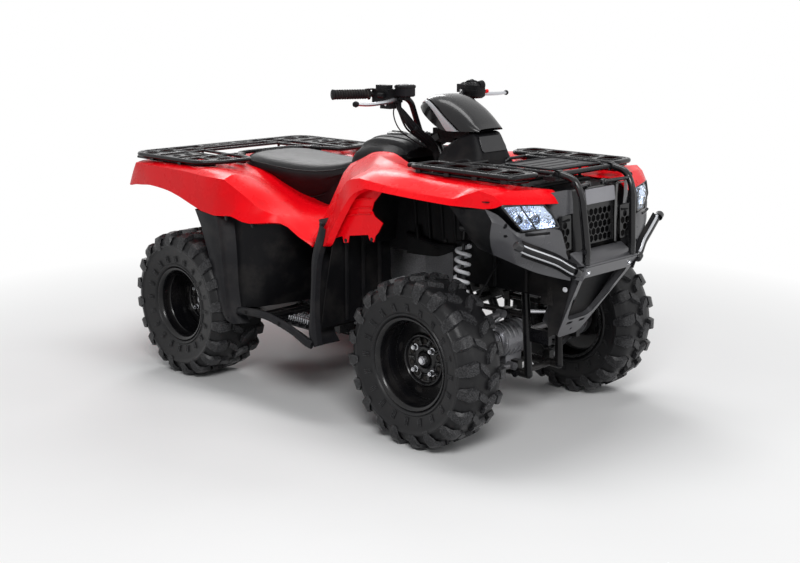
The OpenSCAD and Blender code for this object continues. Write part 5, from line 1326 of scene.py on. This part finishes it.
def make_suspension():
    """Front and rear coil-over shocks."""
    s = Shape()
    shock(s, (0.6275, 0.262, 0.425), (0.6185, 0.23, 0.735), (1, 0, 0), 0.0235, 0.0072, 6.0, 0.055, 0.25)
    s.both_sides()
    s.piece("front_shock_units", "chassis", "spring_white", ["spring", "paint", "dark", "zinc"], sharp=35,
        nodes=("front_shocks",))
    s = Shape()
    shock(s, (-0.5135, 0, 0.309), (-0.4585, 0, 0.65), (0, 1, 0), 0.03, 0.0062, 7.5, 0.07, 0.305)
    s.piece("rear_shock_unit", "chassis", "spring_white", ["spring", "paint", "dark", "zinc"], sharp=35,
        nodes=("rear_shock",))


def bellows(shape, a, b, r0, r1, folds):
    """A ribbed rubber boot that narrows from r0 to r1."""
    a, b = Vector(a), Vector(b)
    length, profile = (b - a).length, []
    for k in range(folds):
        f = k / folds
        r = r0 + (r1 - r0) * f
        profile += [(length * f, r), (length * (f + 0.5 / folds), r - 0.0065)]
    shape.turned([(0.0, r0 * 0.6), (0.0, r0), *profile[1:], (length, r1), (length + 0.004, r1), (length + 0.004,
        r1 * 0.6)], a, tuple(b - a), 28)


def make_drive():
    """Rubber boots, rings, ribs, hoses and bolts on the drive and the arms."""
    d = Shape()
    bellows(d, (0.6335, 0.128, 0.2925), (0.6335, 0.072, 0.292), 0.022, 0.04, 5)
    bellows(d, (0.6335, 0.262, 0.2985), (0.6335, 0.32, 0.3), 0.02, 0.029, 5)
    for y, r in mm(((70, 41), (129, 24), (260, 24), (322, 31.5))):
        d.turned([(-0.003, 0.02), (-0.003, r), (0.003, r), (0.003, 0.02)],
                 (0.6335, y, 0.294 + 0.02 * y), "y", 24, 1, closed=True)
    for k in range(8):
        a = 2 * math.pi * k / 8
        d.bolt((0.6335 + 0.052 * math.cos(a), 0.0652, 0.292 + 0.052 * math.sin(a)), (0, 1, 0), 0.005, 0.004, 1)
    d.turned(mm([(-1, 40), (-1, 59), (4, 57.5), (4, 40)]), (0.6335, 0.065, 0.292), "y", 40, 2, closed=True)
    d.tube(curve_through(mm([(560, 120, 700), (575, 170, 640), (600, 200, 560), (655, 235, 470), (672, 270, 415), (668,
        300, 400)]), 6), 0.0045, 8, 0)
    d.tube(curve_through(mm([(700, 110, 640), (720, 180, 600), (700, 225, 520), (672, 262, 452), (662, 290, 412)]), 6),
        0.0035, 8, 0)
    for x in (0.5115, 0.7555):
        d.bolt((x, 0.1205, 0.234), (0, 1, 0), 0.008, 0.004, 1)
    d.both_sides()
    for k in range(5):
        d.tube([(0.6335 + 0.0635 * math.cos(a), -0.05 + 0.025 * k,
            0.292 + 0.0635 * math.sin(a)) for a in np.linspace(0.3, 5.9, 36)], 0.003, 6, 2)
    d.piece("drive_boots_and_hoses", "chassis", "black_plastic", ["rubber", "zinc", "cast"], sharp=35)


def make_rear_end():
    """Muffler with its shield and tail pipe, tail lamp, and the ribs of the final drive."""
    m = Shape().turned(mm([(-195, 0), (-195, 30), (-190, 58), (-182, 66), (-176, 66.5), (-172, 65), (150, 65), (156,
        66.5), (162, 66), (172, 50), (178, 24), (178, 0)]), (-0.7335, -0.2, 0.6), "x", 40, 0)
    m.turned(mm([(-245, 17), (-245, 20.5), (-190, 20.5), (-186, 28)]), (-0.7335, -0.2, 0.6), "x", 28, 0)
    # the plug inside the tail pipe is in the dark finish: painted shade in the bore
    m.turned(mm([(-245, 17), (-200, 16), (-200, 0)]), (-0.7335, -0.2, 0.6), "x", 28, 2)
    guard = [[(-0.7335 + x, -0.2 + 0.0705 * math.cos(a), 0.6 + 0.0705 * math.sin(a)) for a in np.linspace(0.6, 2.9,
        12)] for x in np.linspace(-0.13, 0.11, 9)]
    m.skin(guard, 1)
    for x in (-0.12, 0.1):
        m.bolt((-0.7335 + x, -0.2, 0.6705), (0, 0, 1), 0.005, 0.003, 1)
    m.tube(bent_path(mm([(-565, -200, 600), (-500, -190, 596), (-440, -150, 560), (-400, -118, 500)]), 0.05), 0.019,
        18, 0)
    m.block((-0.7435, -0.208, 0.66), (-0.7235, -0.192, 0.7118), 1)
    m.piece("muffler_can", "chassis", "satin_steel", ["exhaust", "paint", "dark"], sharp=35, nodes=("muffler",))
    t = Shape().skin([[(x, y, z) for y, z in window((-0.07 + g, 0.768 + g), (0.07 - g, 0.812 - g), 0.012)] for x, g in
                      mm(((-1054, 0), (-1082, 0), (-1088, 3), (-1090, 8)))], 0, around=True, ends=True)
    for k in range(7):
        t.tube([(-1.0895, -0.054 + k * 0.018, 0.779), (-1.0895, -0.054 + k * 0.018, 0.801)], 0.0018, 6, 0)
    t.skin([[(x, y, z) for y, z in window((-0.071 - g, 0.767 - g), (0.071 + g, 0.813 + g), 0.012)] for x,
        g in mm(((-1072, 3), (-1074, 0), (-1054, 0)))], 1, around=True)
    t.piece("tail_lamp", "chassis", "lamp_red", ["lens_red", "smooth"], sharp=35, round_edges=0.001,
        nodes=("tail_light",))
    f = Shape()
    for s in (-1, 1):
        for k in range(8):
            a = 2 * math.pi * (k + 0.5) / 8
            f.bolt((-0.6335 + 0.066 * math.cos(a), s * 0.0602, 0.3 + 0.066 * math.sin(a)), (0, s, 0), 0.0055, 0.004, 1)
        f.turned([(0.0, 0.034), (0.0, 0.056), (s * 0.006, 0.052), (s * 0.01, 0.034)], (-0.6335, s * 0.06, 0.3), "y",
            40, 0)
    for k in range(7):
        f.tube([(-0.6335 + 0.079 * math.cos(a), -0.048 + 0.016 * k,
            0.3 + 0.079 * math.sin(a)) for a in np.linspace(0.2, 6.08, 44)], 0.003, 6, 0)
    f.turned(mm([(0, 0), (0, 11), (6, 11), (8, 8), (8, 0)]), (-0.6335, 0.0, 0.377), "z", 6, 1)
    f.piece("final_drive_ribs", "chassis", "cast_aluminium", ["cast", "zinc"], sharp=35)


# ---- stage --------------------------------------------------------------------------------

def seen_directly(t):
    """Where the pale surroundings are looked at, mirrored or seen through glass."""
    rays = t.node("ShaderNodeLightPath")
    straight = t.math("ADD", rays.outputs["Is Camera Ray"], rays.outputs["Is Glossy Ray"])
    return t.math("ADD", straight, rays.outputs["Is Transmission Ray"], clamp=True)


def make_stage(settings):
    """Pale floor that fades into the backdrop, four soft lamps and the camera."""
    scene = bpy.context.scene
    scene.view_settings.view_transform = "Standard"
    floor = bpy.data.meshes.new("Floor")
    floor.from_pydata([(-30, -30, 0), (30, -30, 0), (30, 30, 0), (-30, 30, 0)], [], [(0, 1, 2, 3)])
    obj = bpy.data.objects.new("Floor", floor)
    scene.collection.objects.link(obj)
    m = bpy.data.materials.new("Pale Floor")
    m.use_nodes = True
    t = Tree(m.node_tree)
    m.node_tree.nodes.clear()
    coord = t.node("ShaderNodeTexCoord").outputs["Object"]
    mottle = t.node("ShaderNodeTexNoise", {"Vector": coord, "Scale": 2.0, "Detail": 4.0}).outputs[0]
    lit = t.node("ShaderNodeBsdfDiffuse", {"Color": t.mix(mottle, (0.86, 0.86, 0.86, 1), (0.9, 0.9, 0.9, 1))})
    white = t.node("ShaderNodeEmission", {"Color": (1, 1, 1, 1), "Strength": 1.0})
    path = seen_directly(t)
    away = t.node("ShaderNodeVectorMath", {0: coord}, operation="LENGTH").outputs["Value"]
    fade = t.ramp(away, 1.2, 2.9, settings.floor_glow, 1.0)
    blend = t.node("ShaderNodeMixShader", {0: t.math("MULTIPLY", path, fade), 1: lit.outputs[0], 2: white.outputs[0]})
    out = t.node("ShaderNodeOutputMaterial")
    m.node_tree.links.new(blend.outputs[0], out.inputs["Surface"])
    floor.materials.append(m)

    world = bpy.data.worlds.new("Studio")
    scene.world = world
    world.use_nodes = True
    t = Tree(world.node_tree)
    world.node_tree.nodes.clear()
    seen = seen_directly(t)
    soft = t.node("ShaderNodeBackground", {"Color": (0.95, 0.97, 1.0, 1), "Strength": settings.room_light})
    white = t.node("ShaderNodeBackground", {"Color": (1, 1, 1, 1), "Strength": 1.0})
    mixed = t.node("ShaderNodeMixShader", {0: seen, 1: soft.outputs[0], 2: white.outputs[0]})
    out = t.node("ShaderNodeOutputWorld")
    world.node_tree.links.new(mixed.outputs[0], out.inputs["Surface"])

    for name, place, size, power in (("Key", (3.4, -3.2, 3.6), (2.2, 1.3), settings.key_power),
                                     ("Fill", (5.2, 1.2, 2.6), (1.4, 2.6), settings.fill_power),
                                     ("Rim", (-3.8, 2.6, 3.6), (2.4, 1.2), settings.rim_power),
                                     ("Top", (0.0, 0.2, 4.6), (3.4, 1.2), settings.top_power)):
        data = bpy.data.lights.new(name, "AREA")
        data.shape = "RECTANGLE"
        data.size, data.size_y = size
        data.energy = power
        lamp = bpy.data.objects.new(name, data)
        lamp.location = place
        lamp.rotation_mode = "QUATERNION"
        lamp.rotation_quaternion = (Vector((0.1, 0, 0.45)) - Vector(place)).to_track_quat("-Z", "Y")
        scene.collection.objects.link(lamp)

    data = bpy.data.cameras.new("Camera")
    data.lens = settings.lens
    data.sensor_width = 36.0
    data.clip_end = 100.0
    camera = bpy.data.objects.new("Camera", data)
    camera.location = settings.camera_place
    camera.rotation_mode = "QUATERNION"
    aim = (Vector(settings.camera_aim) - Vector(settings.camera_place)).to_track_quat("-Z", "Y")
    camera.rotation_quaternion = aim
    scene.collection.objects.link(camera)
    scene.camera = camera


# ---- the add-on ---------------------------------------------------------------------------

class QuadSettings(bpy.types.PropertyGroup):
    """Sizes and colours of the quad bike."""
    body_colour: bpy.props.FloatVectorProperty(name="Body Colour", description="Colour of the bodywork",
        subtype="COLOR", default=(0.92, 0.002, 0.008), min=0, max=1)
    trim_colour: bpy.props.FloatVectorProperty(name="Trim Colour", description="Colour of the grained plastic",
        subtype="COLOR", default=(0.005, 0.005, 0.006), min=0, max=1)
    front_pitches: bpy.props.IntProperty(name="Front Tyre Pitches", description="Tread blocks round a front tyre",
        default=20, min=12, max=30)
    rear_pitches: bpy.props.IntProperty(name="Rear Tyre Pitches", description="Tread blocks round a rear tyre",
        default=20, min=12, max=30)


class StageSettings(bpy.types.PropertyGroup):
    """Lamps, floor and camera."""
    lens: bpy.props.FloatProperty(name="Lens", description="Focal length", unit="CAMERA", default=53.62)
    camera_place: bpy.props.FloatVectorProperty(name="Camera Place", description="Where the camera stands",
        subtype="TRANSLATION", default=(3.352, -3.332, 1.495))
    camera_aim: bpy.props.FloatVectorProperty(name="Camera Aim", description="What the camera looks at",
        subtype="TRANSLATION", default=(0.0583, 0.0149, 0.4091))
    key_power: bpy.props.FloatProperty(name="Key", description="Power of the key lamp", unit="POWER", default=150.0,
        min=0)
    fill_power: bpy.props.FloatProperty(name="Fill", description="Power of the fill lamp", unit="POWER", default=30.0,
        min=0)
    rim_power: bpy.props.FloatProperty(name="Rim", description="Power of the rim lamp", unit="POWER", default=80.0,
        min=0)
    top_power: bpy.props.FloatProperty(name="Top", description="Power of the top lamp", unit="POWER", default=90.0,
        min=0)
    room_light: bpy.props.FloatProperty(name="Room Light", description="Strength of the even light", default=0.17,
        min=0)
    floor_glow: bpy.props.FloatProperty(name="Floor Glow", description="How white the floor is drawn near the machine",
        default=0.0, min=0, max=1)


class QUAD_OT_finishes(bpy.types.Operator):
    """Make the finishes and give each construction piece its own"""
    bl_idname = "quad.finishes"
    bl_label = "Finishes"
    bl_options = {"REGISTER", "UNDO"}

    def execute(self, context):
        make_finishes(context.scene.quad_settings)
        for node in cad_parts:
            paint_node(node, *NODE_FINISH.get(node, ("paint",)))
        return {"FINISHED"}


class QUAD_OT_fenders(bpy.types.Operator):
    """Make the front and rear bodywork"""
    bl_idname = "quad.fenders"
    bl_label = "Fenders"
    bl_options = {"REGISTER", "UNDO"}

    def execute(self, context):
        make_front_fender()
        make_rear_fender()
        return {"FINISHED"}


class QUAD_OT_covers(bpy.types.Operator):
    """Make the tank cover, the fuel cap and the nose cowl"""
    bl_idname = "quad.covers"
    bl_label = "Tank and Nose Covers"
    bl_options = {"REGISTER", "UNDO"}

    def execute(self, context):
        make_covers()
        return {"FINISHED"}


class QUAD_OT_seat(bpy.types.Operator):
    """Make the padded seat"""
    bl_idname = "quad.seat"
    bl_label = "Seat"
    bl_options = {"REGISTER", "UNDO"}

    def execute(self, context):
        make_seat()
        return {"FINISHED"}


class QUAD_OT_flares(bpy.types.Operator):
    """Make the mudguard flares and the foot boards"""
    bl_idname = "quad.flares"
    bl_label = "Mudguards and Foot Boards"
    bl_options = {"REGISTER", "UNDO"}

    def execute(self, context):
        make_flares()
        make_footwells()
        return {"FINISHED"}


class QUAD_OT_side_covers(bpy.types.Operator):
    """Make the engine side covers, the splash shields, the arch liners and the radiator"""
    bl_idname = "quad.side_covers"
    bl_label = "Side Covers"
    bl_options = {"REGISTER", "UNDO"}

    def execute(self, context):
        make_side_covers()
        make_liners()
        return {"FINISHED"}


class QUAD_OT_wheels(bpy.types.Operator):
    """Make the four tyres and their rims"""
    bl_idname = "quad.wheels"
    bl_label = "Wheels"
    bl_options = {"REGISTER", "UNDO"}

    def execute(self, context):
        s = context.scene.quad_settings
        for side, word in ((1, "left"), (-1, "right")):
            make_tyre(f"front_tyre_{word}_knobbly", f"front_wheel_{word}", FRONT_X, side * FRONT_Y, 0.1, FRONT_RIM_R,
                (f"front_tyre_{word}",), s.front_pitches)
            make_rim(f"front_rim_{word}_steel", f"front_wheel_{word}", FRONT_X, side, FRONT_Y, 0.082, FRONT_RIM_R,
                0.442, (f"front_rim_{word}",))
            make_tyre(f"rear_tyre_{word}_knobbly", "rear_wheels", REAR_X, side * REAR_Y, 0.125, REAR_RIM_R,
                ("rear_tyres",), s.rear_pitches)
            make_rim(f"rear_rim_{word}_steel", "rear_wheels", REAR_X, side, REAR_Y, 0.107, REAR_RIM_R, 0.452,
                ("rear_rims",))
        return {"FINISHED"}


class QUAD_OT_racks(bpy.types.Operator):
    """Make the front and rear racks"""
    bl_idname = "quad.racks"
    bl_label = "Racks"
    bl_options = {"REGISTER", "UNDO"}

    def execute(self, context):
        make_front_rack()
        make_rear_rack()
        return {"FINISHED"}


class QUAD_OT_guards(bpy.types.Operator):
    """Make the brush guard, the lower guard and the honeycomb grille"""
    bl_idname = "quad.guards"
    bl_label = "Front Guards"
    bl_options = {"REGISTER", "UNDO"}

    def execute(self, context):
        make_guards()
        return {"FINISHED"}


class QUAD_OT_lamps(bpy.types.Operator):
    """Make the headlights, the cowls round them and the bumper bars"""
    bl_idname = "quad.lamps"
    bl_label = "Lamps and Cowls"
    bl_options = {"REGISTER", "UNDO"}

    def execute(self, context):
        make_headlights()
        make_cowls()
        return {"FINISHED"}


class QUAD_OT_steering(bpy.types.Operator):
    """Make the handlebar, the instrument pod and the controls"""
    bl_idname = "quad.steering"
    bl_label = "Handlebar and Controls"
    bl_options = {"REGISTER", "UNDO"}

    def execute(self, context):
        make_bars()
        make_controls()
        return {"FINISHED"}


class QUAD_OT_suspension(bpy.types.Operator):
    """Make the shocks, the drive boots and the hoses"""
    bl_idname = "quad.suspension"
    bl_label = "Suspension"
    bl_options = {"REGISTER", "UNDO"}

    def execute(self, context):
        make_suspension()
        make_drive()
        return {"FINISHED"}


class QUAD_OT_rear_end(bpy.types.Operator):
    """Make the muffler, the tail lamp and the final drive ribs"""
    bl_idname = "quad.rear_end"
    bl_label = "Rear End"
    bl_options = {"REGISTER", "UNDO"}

    def execute(self, context):
        make_rear_end()
        return {"FINISHED"}


NODE_FINISH = {"engine": ("cast",), "front_drive": ("cast",), "frame": ("paint",), "skid_plate": ("plastic",),
               "knuckle_left": ("cast",), "knuckle_right": ("cast",), "front_arms": ("guard",), "rear_axle": ("cast",),
               "swingarm": ("guard",), "tie_rod_left": ("zinc",), "tie_rod_right": ("zinc",)}
OPERATORS = (QUAD_OT_finishes, QUAD_OT_fenders, QUAD_OT_covers, QUAD_OT_seat, QUAD_OT_flares, QUAD_OT_side_covers,
             QUAD_OT_wheels, QUAD_OT_racks, QUAD_OT_guards, QUAD_OT_lamps, QUAD_OT_steering, QUAD_OT_suspension,
             QUAD_OT_rear_end)


class QUAD_OT_stage(bpy.types.Operator):
    """Make the floor, the lamps and the camera"""
    bl_idname = "quad.stage"
    bl_label = "Stage"
    bl_options = {"REGISTER", "UNDO"}

    def execute(self, context):
        make_stage(context.scene.quad_stage)
        return {"FINISHED"}


class QUAD_PT_parts(bpy.types.Panel):
    """Lists the groups of pieces"""
    bl_label = "Quad Bike"
    bl_space_type = "VIEW_3D"
    bl_region_type = "UI"
    bl_category = "Quad Bike"

    def draw(self, context):
        for prop in ("body_colour", "trim_colour", "front_pitches", "rear_pitches"):
            self.layout.prop(context.scene.quad_settings, prop)
        for op in (*OPERATORS, QUAD_OT_stage):
            self.layout.operator(op.bl_idname)


CLASSES = (QuadSettings, StageSettings, *OPERATORS, QUAD_OT_stage, QUAD_PT_parts)


def register():
    for cls in CLASSES:
        bpy.utils.register_class(cls)
    bpy.types.Scene.quad_settings = bpy.props.PointerProperty(type=QuadSettings)
    bpy.types.Scene.quad_stage = bpy.props.PointerProperty(type=StageSettings)


def unregister():
    del bpy.types.Scene.quad_stage
    del bpy.types.Scene.quad_settings
    for cls in reversed(CLASSES):
        bpy.utils.unregister_class(cls)


def main():
    register()
    bpy.ops.quad.stage()
    for op in OPERATORS:
        getattr(bpy.ops.quad, op.bl_idname.split(".")[1])()


if __name__ == "__main__":
    main()
